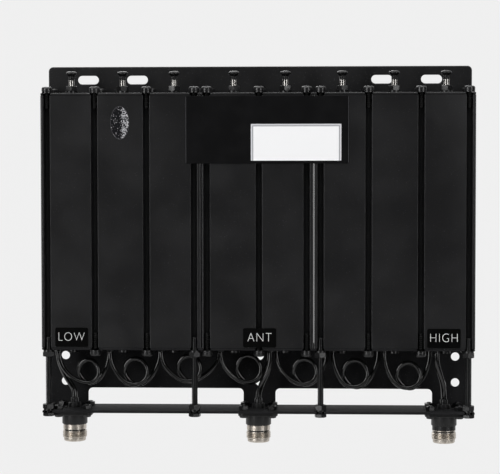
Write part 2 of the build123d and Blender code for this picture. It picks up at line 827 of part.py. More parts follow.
nameplate_span = tuple(body_top - drop for drop in nameplate_drops)
write("nameplate", [rounded_plate(nameplate_x, nameplate_span)])
label_names = ("label_low", "label_antenna", "label_high")
label_z = body_bottom + label_rise
label_span = (label_z - label_height / 2, label_z + label_height / 2)
for name, connector, offset in zip(label_names, connector_xs, label_offsets):
    x = connector + offset
    write(name, [rounded_plate((x - label_width / 2, x + label_width / 2), label_span)])
foil = extrude(Plane.XZ * Ellipse(foil_width / 2, foil_height / 2), foil_thickness)
foil_x = cell_xs[1] + foil_offset
write("foil_sticker", [Pos(foil_x, front_y, body_top - foil_drop) * foil])
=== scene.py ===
"""Dresses the eight-cavity radio duplexer: sprayed extrusions and covers, tuning screws,
looped cables, stand-off rods and threaded connectors, under soft studio light."""

import json
import logging
import math
from collections.abc import Callable, Iterable, Sequence
from dataclasses import dataclass, field
from enum import Enum

import bmesh
import bpy
from mathutils import Matrix, Vector

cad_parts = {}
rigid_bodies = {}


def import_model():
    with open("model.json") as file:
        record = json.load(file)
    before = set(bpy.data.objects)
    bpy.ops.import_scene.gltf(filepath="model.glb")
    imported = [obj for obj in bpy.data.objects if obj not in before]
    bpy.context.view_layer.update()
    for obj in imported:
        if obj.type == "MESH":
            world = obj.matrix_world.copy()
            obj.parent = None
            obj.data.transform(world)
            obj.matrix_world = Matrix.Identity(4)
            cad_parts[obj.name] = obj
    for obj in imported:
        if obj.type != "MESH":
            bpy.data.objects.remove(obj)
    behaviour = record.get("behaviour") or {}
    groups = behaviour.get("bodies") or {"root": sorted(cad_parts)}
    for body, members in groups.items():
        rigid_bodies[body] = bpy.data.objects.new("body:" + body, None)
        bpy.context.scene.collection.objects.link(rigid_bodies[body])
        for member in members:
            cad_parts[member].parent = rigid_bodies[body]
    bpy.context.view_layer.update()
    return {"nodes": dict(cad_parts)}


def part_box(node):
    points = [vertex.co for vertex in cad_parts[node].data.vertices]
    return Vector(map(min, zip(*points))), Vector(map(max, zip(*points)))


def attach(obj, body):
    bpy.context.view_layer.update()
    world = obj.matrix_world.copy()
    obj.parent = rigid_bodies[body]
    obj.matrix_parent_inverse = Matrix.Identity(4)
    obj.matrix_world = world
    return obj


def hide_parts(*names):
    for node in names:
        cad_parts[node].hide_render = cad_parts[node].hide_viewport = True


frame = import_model()

MM = 0.001
LOG = logging.getLogger("duplexer")
# The body that holds everything but the tuning screws.
BODY = "duplexer"
# Points of a mesh that are closer than this, in metres, are one point.
MERGE = 2e-6
# Degrees below which two faces count as one flat face.
NEARLY_FLAT = 0.5
# An edge with at least this share of its length along Z runs upright.
UPRIGHT = 0.99
# Faces across a rounded edge, and the angle past which its mesh keeps an edge sharp.
EASE_STEPS = 4
EASE_SHARP = 40.0
# The chamfers of the screw channels start between these depths, in millimetres.
GROOVE_CHAMFER = (0.2, 0.3)
# A mesh point this close to a face's plane, in millimetres, lies on that face.
ON_FACE = 0.1
ON_SEAM = 0.02

Outline = Sequence[tuple[float, float]]


class Slot(Enum):
    """Names of the finishes, which this script does not use."""

    EXTRUSION = "painted_extrusion"
    SHEET = "painted_sheet"
    STEEL = "painted_steel"
    TUNING_STEEL = "tuning_screw_steel"
    BRASS = "painted_brass"
    SILVER = "plated_brass"
    NICKEL = "connector_nickel"
    PTFE = "ptfe"
    CONTACT = "contact_plating"
    JACKET = "cable_jacket"
    FILM = "label_vinyl"
    FOIL = "foil"


class Facing(Enum):
    """The way that a screw's head looks."""

    UP = 1
    DOWN = -1


# Small helpers: nodes, colours, meshes


def linear(colour: str) -> tuple[float, float, float, float]:
    """Turns an sRGB colour to linear light.

    Args:
        colour: Six hex digits after a hash.

    Returns:
        Red, green, blue and an opaque alpha.
    """
    parts = [int(colour[i : i + 2], 16) / 255 for i in (1, 3, 5)]
    light = [c / 12.92 if c <= 0.04045 else ((c + 0.055) / 1.055) ** 2.4 for c in parts]
    return (light[0], light[1], light[2], 1.0)


def per_mm(size: float) -> float:
    """Texture scale of a pattern whose features are this many millimetres apart."""
    return 1 / (size * MM)


def add_node(
    tree: bpy.types.NodeTree,
    kind: str,
    sockets: dict[str | int, object] | None = None,
    **settings: object,
) -> bpy.types.Node:
    """Adds a node with its settings, and links or sets its sockets.

    Args:
        tree: The tree that gets the node.
        kind: Blender's name of the node.
        sockets: By socket name or number, a node or socket to link, or a value to set.
        settings: The node's own properties.

    Returns:
        The new node.
    """
    node = tree.nodes.new(kind)
    for key, value in settings.items():
        setattr(node, key, value)
    for key, value in (sockets or {}).items():
        if isinstance(value, bpy.types.Node):
            tree.links.new(value.outputs[0], node.inputs[key])
        elif isinstance(value, bpy.types.NodeSocket):
            tree.links.new(value, node.inputs[key])
        else:
            node.inputs[key].default_value = value
    return node


def start_material(
    name: str,
) -> tuple[bpy.types.Material, bpy.types.NodeTree, bpy.types.Node, bpy.types.NodeSocket]:
    """Makes an empty material.

    Args:
        name: The material's name.

    Returns:
        The material, its tree, its shader and the object coordinates.
    """
    material = bpy.data.materials.new(name)
    material.use_nodes = True
    tree = material.node_tree
    shader = tree.nodes["Principled BSDF"]
    place = add_node(tree, "ShaderNodeTexCoord").outputs["Object"]
    return material, tree, shader, place


def set_shader(tree: bpy.types.NodeTree, shader: bpy.types.Node, values: dict[str, object]) -> None:
    """Links or sets the shader's sockets.

    Args:
        tree: The material's tree.
        shader: The shader.
        values: By socket name, a socket to link or a value to set.
    """
    for key, value in values.items():
        if isinstance(value, bpy.types.NodeSocket):
            tree.links.new(value, shader.inputs[key])
        else:
            shader.inputs[key].default_value = value


def mesh_from(
    name: str, build: Callable[[bmesh.types.BMesh], None], angle: float = 35.0
) -> bpy.types.Mesh:
    """Builds a mesh, points its faces outwards and smooths its round faces.

    Args:
        name: The mesh's name.
        build: Fills the empty mesh.
        angle: Degrees between faces past which an edge stays sharp.

    Returns:
        The finished mesh.
    """
    work = bmesh.new()
    build(work)
    bmesh.ops.remove_doubles(work, verts=work.verts, dist=MERGE)
    bmesh.ops.recalc_face_normals(work, faces=work.faces)
    mesh = bpy.data.meshes.new(name)
    work.to_mesh(mesh)
    work.free()
    return smoothed(mesh, angle)


def smoothed(mesh: bpy.types.Mesh, angle: float = 35.0) -> bpy.types.Mesh:
    """Smooths a mesh's faces.

    Args:
        mesh: The mesh.
        angle: Degrees between faces past which an edge stays sharp.

    Returns:
        The same mesh.
    """
    mesh.shade_smooth()
    mesh.set_sharp_from_angle(angle=math.radians(angle))
    return mesh


def joined(name: str, meshes: Iterable[bpy.types.Mesh]) -> bpy.types.Mesh:
    """Puts several meshes together in one.

    Args:
        name: The new mesh's name.
        meshes: The meshes, which are used up.

    Returns:
        The mesh with all their faces.
    """
    work = bmesh.new()
    for mesh in meshes:
        work.from_mesh(mesh)
        bpy.data.meshes.remove(mesh)
    whole = bpy.data.meshes.new(name)
    work.to_mesh(whole)
    work.free()
    return smoothed(whole)


def shown(data: bpy.types.Mesh | bpy.types.Curve, name: str) -> bpy.types.Object:
    """Puts a mesh or a curve in the scene.

    Args:
        data: The mesh or curve.
        name: The object's name.

    Returns:
        Its object, at the origin.
    """
    piece = bpy.data.objects.new(name, data)
    bpy.context.scene.collection.objects.link(piece)
    return piece


def discard(piece: bpy.types.Object) -> None:
    """Removes an object and its data."""
    bpy.data.batch_remove([piece, piece.data])


def evaluated_mesh(piece: bpy.types.Object, name: str) -> bpy.types.Mesh:
    """Takes the mesh that an object's modifiers make, and removes the object.

    Args:
        piece: The object, which is used up.
        name: The mesh's name.

    Returns:
        The plain mesh.
    """
    view = bpy.context.evaluated_depsgraph_get()
    mesh = bpy.data.meshes.new_from_object(piece.evaluated_get(view), depsgraph=view)
    discard(piece)
    mesh.name = name
    return mesh


def carved(base: bpy.types.Mesh, cutters: Sequence[bpy.types.Mesh]) -> bpy.types.Mesh:
    """Cuts meshes out of a mesh.

    Args:
        base: The mesh that is cut, and used up.
        cutters: The meshes that are taken away, and used up.

    Returns:
        What is left.
    """
    block = shown(base, "block")
    tools = [shown(cutter, "cutter") for cutter in cutters]
    for tool in tools:
        cut = block.modifiers.new("cut", "BOOLEAN")
        cut.operation, cut.solver, cut.object = "DIFFERENCE", "EXACT", tool
    mesh = evaluated_mesh(block, base.name)
    for tool in tools:
        discard(tool)
    return smoothed(mesh)


def dress(
    piece: bpy.types.Object,
    finish: bpy.types.Material,
    body: str = BODY,
    nodes: Sequence[str] = (),
) -> bpy.types.Object:
    """Gives a finished piece its finish, its body and the nodes that it stands for.

    Args:
        piece: The piece, at the origin.
        finish: Its material.
        body: The body that it moves with.
        nodes: The nodes that it replaces.

    Returns:
        The piece.
    """
    piece.data.materials.clear()
    piece.data.materials.append(finish)
    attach(piece, body)
    if nodes:
        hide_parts(*nodes)
    LOG.info("%s: %d faces, rides on %s", piece.name, len(getattr(piece.data, "polygons", ())), body)
    return piece


def paint_node(name: str, finish: bpy.types.Material) -> None:
    """Gives a frame node's own object a finish.

    Args:
        name: The node's name.
        finish: Its material.
    """
    node = frame["nodes"][name]
    for slot in node.material_slots:
        slot.link = "OBJECT"
        slot.material = finish
    LOG.info("%s: finish %s", name, finish.name)


@dataclass(frozen=True)
class Span:
    """The box round one loose piece of a node."""

    low: Vector
    high: Vector

    def on_axis(self, z: float) -> Vector:
        """The point of the piece's upright axis at a height."""
        return Vector(((self.low.x + self.high.x) / 2, (self.low.y + self.high.y) / 2, z))


def loose_pieces(node: str) -> list[Span]:
    """Finds the separate pieces of a frame node.

    Args:
        node: The node's name.

    Returns:
        Each piece's box, from left to right and front to rear.
    """
    work = bmesh.new()
    work.from_mesh(frame["nodes"][node].data)
    bmesh.ops.remove_doubles(work, verts=work.verts, dist=MERGE)
    seen: set[bmesh.types.BMVert] = set()
    spans = []
    for start in work.verts:
        if start in seen:
            continue
        seen.add(start)
        waiting, points = [start], []
        while waiting:
            vert = waiting.pop()
            points.append(vert.co.copy())
            for edge in vert.link_edges:
                other = edge.other_vert(vert)
                if other not in seen:
                    seen.add(other)
                    waiting.append(other)
        spans.append(
            Span(
                Vector([min(p[i] for p in points) for i in range(3)]),
                Vector([max(p[i] for p in points) for i in range(3)]),
            )
        )
    work.free()
    return sorted(spans, key=lambda span: (round(span.low.x, 4), round(span.low.y, 4)))


# Geometry trees


def new_tree(
    name: str, inputs: dict[str, str]
) -> tuple[bpy.types.NodeTree, bpy.types.Node, bpy.types.Node]:
    """Starts a geometry tree with named inputs.

    Args:
        name: The tree's name.
        inputs: By input name, the kind of its socket.

    Returns:
        The tree, its input node and its output node.
    """
    tree = bpy.data.node_groups.new(name, "GeometryNodeTree")
    tree.interface.new_socket(name="Geometry", in_out="INPUT", socket_type="NodeSocketGeometry")
    tree.interface.new_socket(name="Geometry", in_out="OUTPUT", socket_type="NodeSocketGeometry")
    for label, kind in inputs.items():
        tree.interface.new_socket(name=label, in_out="INPUT", socket_type=kind)
    return tree, tree.nodes.new("NodeGroupInput"), tree.nodes.new("NodeGroupOutput")


def grown(
    name: str,
    tree: bpy.types.NodeTree,
    points: Sequence[Vector],
    values: dict[str, object],
) -> bpy.types.Mesh:
    """Runs a geometry tree on loose points.

    Args:
        name: The mesh's name.
        tree: The tree.
        points: Where it puts its pieces.
        values: By input name, each input's value.

    Returns:
        The plain mesh that it makes.
    """
    seeds = bpy.data.meshes.new(name)
    seeds.from_pydata([tuple(p) for p in points], [], [])
    piece = shown(seeds, name)
    modifier = piece.modifiers.new("grow", "NODES")
    modifier.node_group = tree
    for item in tree.interface.items_tree:
        if item.item_type == "SOCKET" and item.in_out == "INPUT" and item.name in values:
            modifier[item.identifier] = values[item.name]
    return smoothed(evaluated_mesh(piece, name))


def placed_pieces_tree() -> bpy.types.NodeTree:
    """Puts one template on every point, each turned a little by a fixed seed.

    Returns:
        The tree, with inputs Template, Turn, Seed and Finish.
    """
    tree, given, result = new_tree(
        "placed_pieces",
        {
            "Template": "NodeSocketObject",
            "Turn": "NodeSocketFloat",
            "Seed": "NodeSocketInt",
            "Finish": "NodeSocketMaterial",
        },
    )
    template = add_node(tree, "GeometryNodeObjectInfo", {"Object": given.outputs["Template"]})
    least = add_node(
        tree, "ShaderNodeMath", {0: given.outputs["Turn"], 1: -1.0}, operation="MULTIPLY"
    )
    # The float sockets are this node's third and fourth, after the vector ones.
    turn = add_node(
        tree,
        "FunctionNodeRandomValue",
        {2: least, 3: given.outputs["Turn"], "Seed": given.outputs["Seed"]},
        data_type="FLOAT",
    )
    about_axis = add_node(tree, "ShaderNodeCombineXYZ", {"Z": turn.outputs[1]})
    pieces = add_node(
        tree,
        "GeometryNodeInstanceOnPoints",
        {
            "Points": given.outputs["Geometry"],
            "Instance": template.outputs["Geometry"],
            "Rotation": about_axis,
        },
    )
    real = add_node(tree, "GeometryNodeRealizeInstances", {"Geometry": pieces})
    finished = add_node(
        tree, "GeometryNodeSetMaterial", {"Geometry": real, "Material": given.outputs["Finish"]}
    )
    tree.links.new(finished.outputs[0], result.inputs[0])
    return tree


def thread_tree(around: int, rows: int = 4) -> bpy.types.NodeTree:
    """Winds a screw thread about the upright axis of every point.

    A grid is rolled into a tube whose rows climb one pitch in a turn, so the crests are
    true helices. Its first and last rows shut the ends, and the thread fades out there.

    Args:
        around: Faces in one turn.
        rows: Faces in one pitch.

    Returns:
        The tree, with inputs Radius, Depth, Pitch, Length, Run-out, Pitches and Finish.
    """
    floats = ("Radius", "Depth", "Pitch", "Length", "Run-out")
    kinds = {label: "NodeSocketFloat" for label in floats}
    tree, given, result = new_tree(
        f"screw_thread_{around}",
        {**kinds, "Pitches": "NodeSocketInt", "Finish": "NodeSocketMaterial"},
    )
    size = given.outputs
    row_count = add_node(
        tree,
        "ShaderNodeMath",
        {0: size["Pitches"], 1: float(rows), 2: float(rows + 1)},
        operation="MULTIPLY_ADD",
    )
    grid = add_node(
        tree,
        "GeometryNodeMeshGrid",
        {"Size X": 1.0, "Size Y": 1.0, "Vertices X": around + 1, "Vertices Y": row_count},
    )
    spot = add_node(tree, "ShaderNodeSeparateXYZ", {0: add_node(tree, "GeometryNodeInputPosition")})
    known = {label: size[label] for label in (*floats, "Pitches")}
    known.update({"across": spot.outputs["X"], "up": spot.outputs["Y"]})
    # Each step names its result, says what it does, and to which earlier results or numbers.
    for step, operation, *terms in (
        ("share", "ADD", "across", 0.5),
        ("angle", "MULTIPLY", "share", math.tau),
        # Rows run from one pitch below the foot, in pitches.
        ("span", "ADD", "Pitches", 1.0),
        ("row", "ADD", "up", 0.5),
        ("run", "MULTIPLY", "row", "span"),
        ("wound", "ADD", "run", "share"),
        ("climbed", "SUBTRACT", "wound", 1.0),
        ("free height", "MULTIPLY", "climbed", "Pitch"),
        ("above foot", "MAXIMUM", "free height", 0.0),
        ("height", "MINIMUM", "above foot", "Length"),
        # A crest and a root a quarter pitch wide each, with straight flanks between them.
        ("offset run", "ADD", "run", 0.5 / rows),
        ("phase", "FRACT", "offset run"),
        ("swing", "MULTIPLY_ADD", "phase", 2.0, -1.0),
        ("fold", "ABSOLUTE", "swing"),
        ("crest", "MULTIPLY_ADD", "fold", 2.0, -0.5),
        # The thread fades in over the run-out at its foot, and out again at its top.
        ("foot fade", "DIVIDE", "height", "Run-out"),
        ("left", "SUBTRACT", "Length", "height"),
        ("top fade", "DIVIDE", "left", "Run-out"),
        ("crest at foot", "MULTIPLY", "crest", "foot fade"),
        ("fade", "MULTIPLY", "crest at foot", "top fade"),
        ("root", "SUBTRACT", "Radius", "Depth"),
        ("thread radius", "MULTIPLY_ADD", "fade", "Depth", "root"),
        # The outermost rows shrink to the axis, which shuts the ends.
        ("off middle", "ABSOLUTE", "up"),
        ("inside", "LESS_THAN", "off middle", 0.499999),
        ("radius", "MULTIPLY", "thread radius", "inside"),
        ("cosine", "COSINE", "angle"),
        ("sine", "SINE", "angle"),
        ("x", "MULTIPLY", "radius", "cosine"),
        ("y", "MULTIPLY", "radius", "sine"),
    ):
        sockets = {i: known[term] if isinstance(term, str) else term for i, term in enumerate(terms)}
        held = step in ("crest", "foot fade", "top fade")
        known[step] = add_node(tree, "ShaderNodeMath", sockets, operation=operation, use_clamp=held)
    rolled = add_node(
        tree, "ShaderNodeCombineXYZ", {"X": known["x"], "Y": known["y"], "Z": known["height"]}
    )
    tube = add_node(tree, "GeometryNodeSetPosition", {"Geometry": grid, "Position": rolled})
    closed = add_node(tree, "GeometryNodeMergeByDistance", {"Geometry": tube, "Distance": MERGE})
    pieces = add_node(
        tree, "GeometryNodeInstanceOnPoints", {"Points": size["Geometry"], "Instance": closed}
    )
    real = add_node(tree, "GeometryNodeRealizeInstances", {"Geometry": pieces})
    finished = add_node(tree, "GeometryNodeSetMaterial", {"Geometry": real, "Material": size["Finish"]})
    tree.links.new(finished.outputs[0], result.inputs[0])
    return tree


@dataclass(frozen=True)
class Thread:
    """A screw thread's sizes, in millimetres."""

    diameter: float
    pitch: float
    depth: float
    run_out: float

    def wound(
        self,
        name: str,
        tree: bpy.types.NodeTree,
        feet: Sequence[Vector],
        length: float,
        finish: bpy.types.Material,
    ) -> bpy.types.Mesh:
        """Winds this thread up from each foot.

        Args:
            name: The mesh's name.
            tree: The thread tree.
            feet: The lower ends of the threads.
            length: Their length, in millimetres.
            finish: Their material.

        Returns:
            The mesh.
        """
        values = {
            "Radius": self.diameter / 2 * MM,
            "Depth": self.depth * MM,
            "Pitch": self.pitch * MM,
            "Length": length * MM,
            "Run-out": self.run_out * MM,
            "Pitches": math.ceil(length / self.pitch) + 1,
            "Finish": finish,
        }
        return grown(name, tree, feet, values)


# Templates of fasteners


def turned(name: str, outline: Outline, segments: int = 48, ring: bool = False) -> bpy.types.Mesh:
    """Turns an outline about the upright axis.

    Args:
        name: The mesh's name.
        outline: Radius and height of each point, in millimetres.
        segments: Faces in a turn.
        ring: True if the last point joins the first.

    Returns:
        The mesh.
    """

    def build(work: bmesh.types.BMesh) -> None:
        """Lays the rings of points and the faces between them.

        Args:
            work: The empty mesh.
        """
        turns = [math.tau * i / segments for i in range(segments)]
        rings = []
        for radius, z in outline:
            r = radius * MM
            rings.append([work.verts.new((r * math.cos(a), r * math.sin(a), z * MM)) for a in turns])
        pairs = list(zip(rings, rings[1:] + rings[:1]))
        for lower, upper in pairs if ring else pairs[:-1]:
            for i in range(segments):
                j = (i + 1) % segments
                work.faces.new((lower[i], lower[j], upper[j], upper[i]))

    return mesh_from(name, build)


def prism(name: str, foot: Outline, top: Outline, z: tuple[float, float]) -> bpy.types.Mesh:
    """Joins two flat outlines of as many corners.

    Args:
        name: The mesh's name.
        foot: Corners of the lower outline, in millimetres.
        top: Corners of the upper outline.
        z: The two heights.

    Returns:
        The closed mesh.
    """

    def build(work: bmesh.types.BMesh) -> None:
        """Lays both outlines and the sides.

        Args:
            work: The empty mesh.
        """
        low = [work.verts.new((x * MM, y * MM, z[0] * MM)) for x, y in foot]
        high = [work.verts.new((x * MM, y * MM, z[1] * MM)) for x, y in top]
        work.faces.new(low[::-1])
        work.faces.new(high)
        for i in range(len(low)):
            j = (i + 1) % len(low)
            work.faces.new((low[i], low[j], high[j], high[i]))

    return mesh_from(name, build)


def cross_recess(
    span: float, width: float, top: float, depth: float, taper: float = 0.55
) -> list[bpy.types.Mesh]:
    """Makes the two tapered bars that a cross recess is cut with.

    Args:
        span: Tip to tip at the top, in millimetres.
        width: Width of an arm.
        top: Height of the head's top.
        depth: Depth of the recess.
        taper: Span at the bottom as a share of the span at the top.

    Returns:
        Both cutters.
    """
    bars, proud = [], 0.2
    for turn in (0.0, math.pi / 2):
        ends = []
        # Each end's shares of the span and of the arm's width, the lower end first.
        for share, thick in ((taper, 0.8), (1.05, 1.0)):
            a, b = span / 2 * share, width / 2 * thick
            ends.append([(-a, -b), (a, -b), (a, b), (-a, b)])
        bar = prism("bar", ends[0], ends[1], (top - depth, top + proud))
        bar.transform(Matrix.Rotation(turn, 4, "Z"))
        bars.append(bar)
    return bars


def hexagon_radius(across_flats: float, angle: float) -> float:
    """Distance from the axis to a hexagon whose flats face left and right, at an angle."""
    sixth = math.pi / 3
    return across_flats / 2 / math.cos((angle + sixth / 2) % sixth - sixth / 2)


def hexagon_nut(
    name: str,
    across_flats: float,
    height: float,
    bore: float,
    chamfer: float = 30.0,
    face_share: float = 0.97,
    bore_chamfer: float = 0.25,
    segments: int = 72,
) -> bpy.types.Mesh:
    """Makes a nut whose corners are turned off at both ends.

    Args:
        name: The mesh's name.
        across_flats: Width over two flats, in millimetres.
        height: Its height; it stands on the zero plane.
        bore: The bore's diameter.
        chamfer: Degrees between the turned corners and the faces.
        face_share: Diameter of the flat face as a share of the width over flats.
        bore_chamfer: Width of the bore's chamfers.
        segments: Faces in a turn.

    Returns:
        The mesh.
    """
    land = across_flats / 2 * face_share
    slope = math.tan(math.radians(chamfer))

    def build(work: bmesh.types.BMesh) -> None:
        """Lays the rings from the bore's foot, round the outside, to its top.

        Args:
            work: The empty mesh.
        """
        rings: list[list[bmesh.types.BMVert]] = [[] for _ in range(8)]
        for i in range(segments):
            angle = math.tau * i / segments
            reach = hexagon_radius(across_flats, angle)
            drop = (reach - land) * slope
            places = (
                (bore / 2, bore_chamfer),
                (bore / 2 + bore_chamfer, 0.0),
                (land, 0.0),
                (reach, drop),
                (reach, height - drop),
                (land, height),
                (bore / 2 + bore_chamfer, height),
                (bore / 2, height - bore_chamfer),
            )
            for ring, (radius, z) in zip(rings, places):
                r = radius * MM
                ring.append(work.verts.new((r * math.cos(angle), r * math.sin(angle), z * MM)))
        for lower, upper in zip(rings, rings[1:] + rings[:1]):
            for i in range(segments):
                j = (i + 1) % segments
                work.faces.new((lower[i], lower[j], upper[j], upper[i]))

    return mesh_from(name, build, angle=25.0)


def spring_washer(
    name: str,
    outer: float,
    inner: float,
    height: float,
    gap: float = 14.0,
    rise_share: float = 0.12,
    steps: int = 40,
) -> bpy.types.Mesh:
    """Makes a split spring washer that rises from one end of its wire to the other.

    Args:
        name: The mesh's name.
        outer: Outside diameter, in millimetres.
        inner: Inside diameter.
        height: Height over both ends.
        gap: Degrees between the ends.
        rise_share: Share of the height that the wire climbs.
        steps: Faces along the wire.

    Returns:
        The mesh.
    """
    rise = height * rise_share
    thick = height - rise

    def build(work: bmesh.types.BMesh) -> None:
        """Lays the wire's square section round the axis.

        Args:
            work: The empty mesh.
        """
        corners = ((inner / 2, 0), (outer / 2, 0), (outer / 2, thick), (inner / 2, thick))
        sections = []
        for i in range(steps + 1):
            share = i / steps
            angle = math.radians(gap / 2 + (360 - gap) * share)
            section = []
            for radius, z in corners:
                r = radius * MM
                place = (r * math.cos(angle), r * math.sin(angle), (z + rise * share) * MM)
                section.append(work.verts.new(place))
            sections.append(section)
        for here, there in zip(sections, sections[1:]):
            for k in range(4):
                n = (k + 1) % 4
                work.faces.new((here[k], here[n], there[n], there[k]))
        work.faces.new(sections[0])
        work.faces.new(sections[-1][::-1])

    return mesh_from(name, build)


def eased_copy(
    node: str,
    name: str,
    width: float,
    eases: Callable[[bmesh.types.BMEdge], bool] = lambda edge: True,
    angle: float = 60.0,
    prepare: Callable[[Vector], Vector] = lambda place: place,
) -> bpy.types.Mesh:
    """Copies a frame node and rounds its edges, as forming and paint do.

    Args:
        node: The node's name.
        name: The mesh's name.
        width: Width of the rounded edge, in millimetres.
        eases: Picks the edges that are rounded.
        angle: Degrees past which an edge counts as one.
        prepare: Gives a point's place before the edges are rounded.

    Returns:
        The mesh.
    """
    work = bmesh.new()
    work.from_mesh(frame["nodes"][node].data)
    for vert in work.verts:
        vert.co = prepare(vert.co)
    bmesh.ops.remove_doubles(work, verts=work.verts, dist=MERGE)
    bmesh.ops.dissolve_limit(
        work,
        angle_limit=math.radians(NEARLY_FLAT),
        verts=work.verts,
        edges=work.edges,
        use_dissolve_boundaries=False,
    )
    sharp = [e for e in work.edges if e.calc_face_angle(0.0) > math.radians(angle) and eases(e)]
    bmesh.ops.bevel(
        work,
        geom=sharp,
        offset=width * MM,
        offset_type="OFFSET",
        segments=EASE_STEPS,
        profile=0.5,
        affect="EDGES",
    )
    mesh = bpy.data.meshes.new(name)
    work.to_mesh(mesh)
    work.free()
    mesh.materials.clear()
    # The wide flat faces rule the shading at their borders, so they stay flat to the eye.
    piece = shown(smoothed(mesh, EASE_SHARP), name)
    level = piece.modifiers.new("flat_faces", "WEIGHTED_NORMAL")
    level.mode, level.weight, level.keep_sharp = "FACE_AREA", 50, True
    return evaluated_mesh(piece, name)


def upright_on_face(edge: bmesh.types.BMEdge) -> bool:
    """Picks the edges that run up the front or the rear of an extrusion.

    Args:
        edge: An edge of an extrusion.

    Returns:
        True for such an edge.
    """
    low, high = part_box("housing_left")
    run = edge.verts[1].co - edge.verts[0].co
    if abs(run.z) < UPRIGHT * run.length:
        return False
    return min(abs(edge.verts[0].co.y - face) for face in (low[1], high[1])) < ON_FACE * MM


def squared_groove(place: Vector) -> Vector:
    """Moves the points of a channel edge's small chamfer out to the extrusion's face.

    Args:
        place: A point of an extrusion.

    Returns:
        Its place with the chamfer squared off, ready to be rounded.
    """
    low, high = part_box("housing_left")
    nearest, furthest = GROOVE_CHAMFER
    for face in (low[1], high[1]):
        if nearest * MM < abs(place.y - face) < furthest * MM:
            return Vector((place.x, face, place.z))
    return place


# Finishes


@dataclass(frozen=True)
class Enamel:
    """Black semi-matt enamel, sprayed from a can over the finished assembly.

    It gives the eye an almost neutral dark skin with a broad soft sheen, a faint orange
    peel, a little settled dust and, on an extrusion, the die's lines showing through.
    """

    name: str
    colour: str = "#121213"
    worn: str = "#19191a"
    dust: str = "#6a6a6c"
    roughness: float = 0.36
    specular: float = 0.35
    peel: float = 1.4
    peel_depth: float = 0.02
    die_line: float = 0.0
    dust_share: float = 0.30

    def build(self) -> bpy.types.Material:
        """Builds the finish.

        Returns:
            Its material.
        """
        material, tree, shader, place = start_material(self.name)
        cloud = add_node(tree, "ShaderNodeTexNoise", {"Vector": place, "Scale": per_mm(30), "Detail": 3.0})
        uneven = add_node(
            tree, "ShaderNodeMapRange", {"Value": cloud, "From Min": 0.38, "From Max": 0.68}
        )
        skin = add_node(
            tree,
            "ShaderNodeMix",
            {0: uneven, 6: linear(self.colour), 7: linear(self.worn)},
            data_type="RGBA",
        )
        # Dust grains of real size would vanish, so they are drawn 0.6 mm wide.
        grain = add_node(tree, "ShaderNodeTexNoise", {"Vector": place, "Scale": per_mm(0.6), "Detail": 0.0})
        speck = add_node(
            tree,
            "ShaderNodeMapRange",
            {"Value": grain, "From Min": 0.74, "From Max": 0.84, "To Max": self.dust_share},
        )
        dusty = add_node(
            tree,
            "ShaderNodeMix",
            {0: speck, 6: skin.outputs[2], 7: linear(self.dust)},
            data_type="RGBA",
        )
        peel = add_node(
            tree, "ShaderNodeTexNoise", {"Vector": place, "Scale": per_mm(self.peel), "Detail": 1.5}
        )
        relief = add_node(
            tree, "ShaderNodeBump", {"Height": peel, "Distance": self.peel_depth * MM, "Strength": 1.0}
        )
        if self.die_line:
            along = add_node(tree, "ShaderNodeMapping", {"Vector": place, "Scale": (1.0, 1.0, 0.004)})
            lines = add_node(
                tree, "ShaderNodeTexNoise", {"Vector": along, "Scale": per_mm(self.die_line), "Detail": 2.0}
            )
            relief = add_node(
                tree,
                "ShaderNodeBump",
                {"Height": lines, "Distance": 0.008 * MM, "Strength": 1.0, "Normal": relief},
            )
        sheen = add_node(
            tree,
            "ShaderNodeMapRange",
            {"Value": cloud, "To Min": self.roughness - 0.06, "To Max": self.roughness + 0.08},
        )
        set_shader(
            tree,
            shader,
            {
                "Base Color": dusty.outputs[2],
                "Roughness": sheen.outputs[0],
                "Normal": relief.outputs[0],
                "Specular IOR Level": self.specular,
            },
        )
        return material


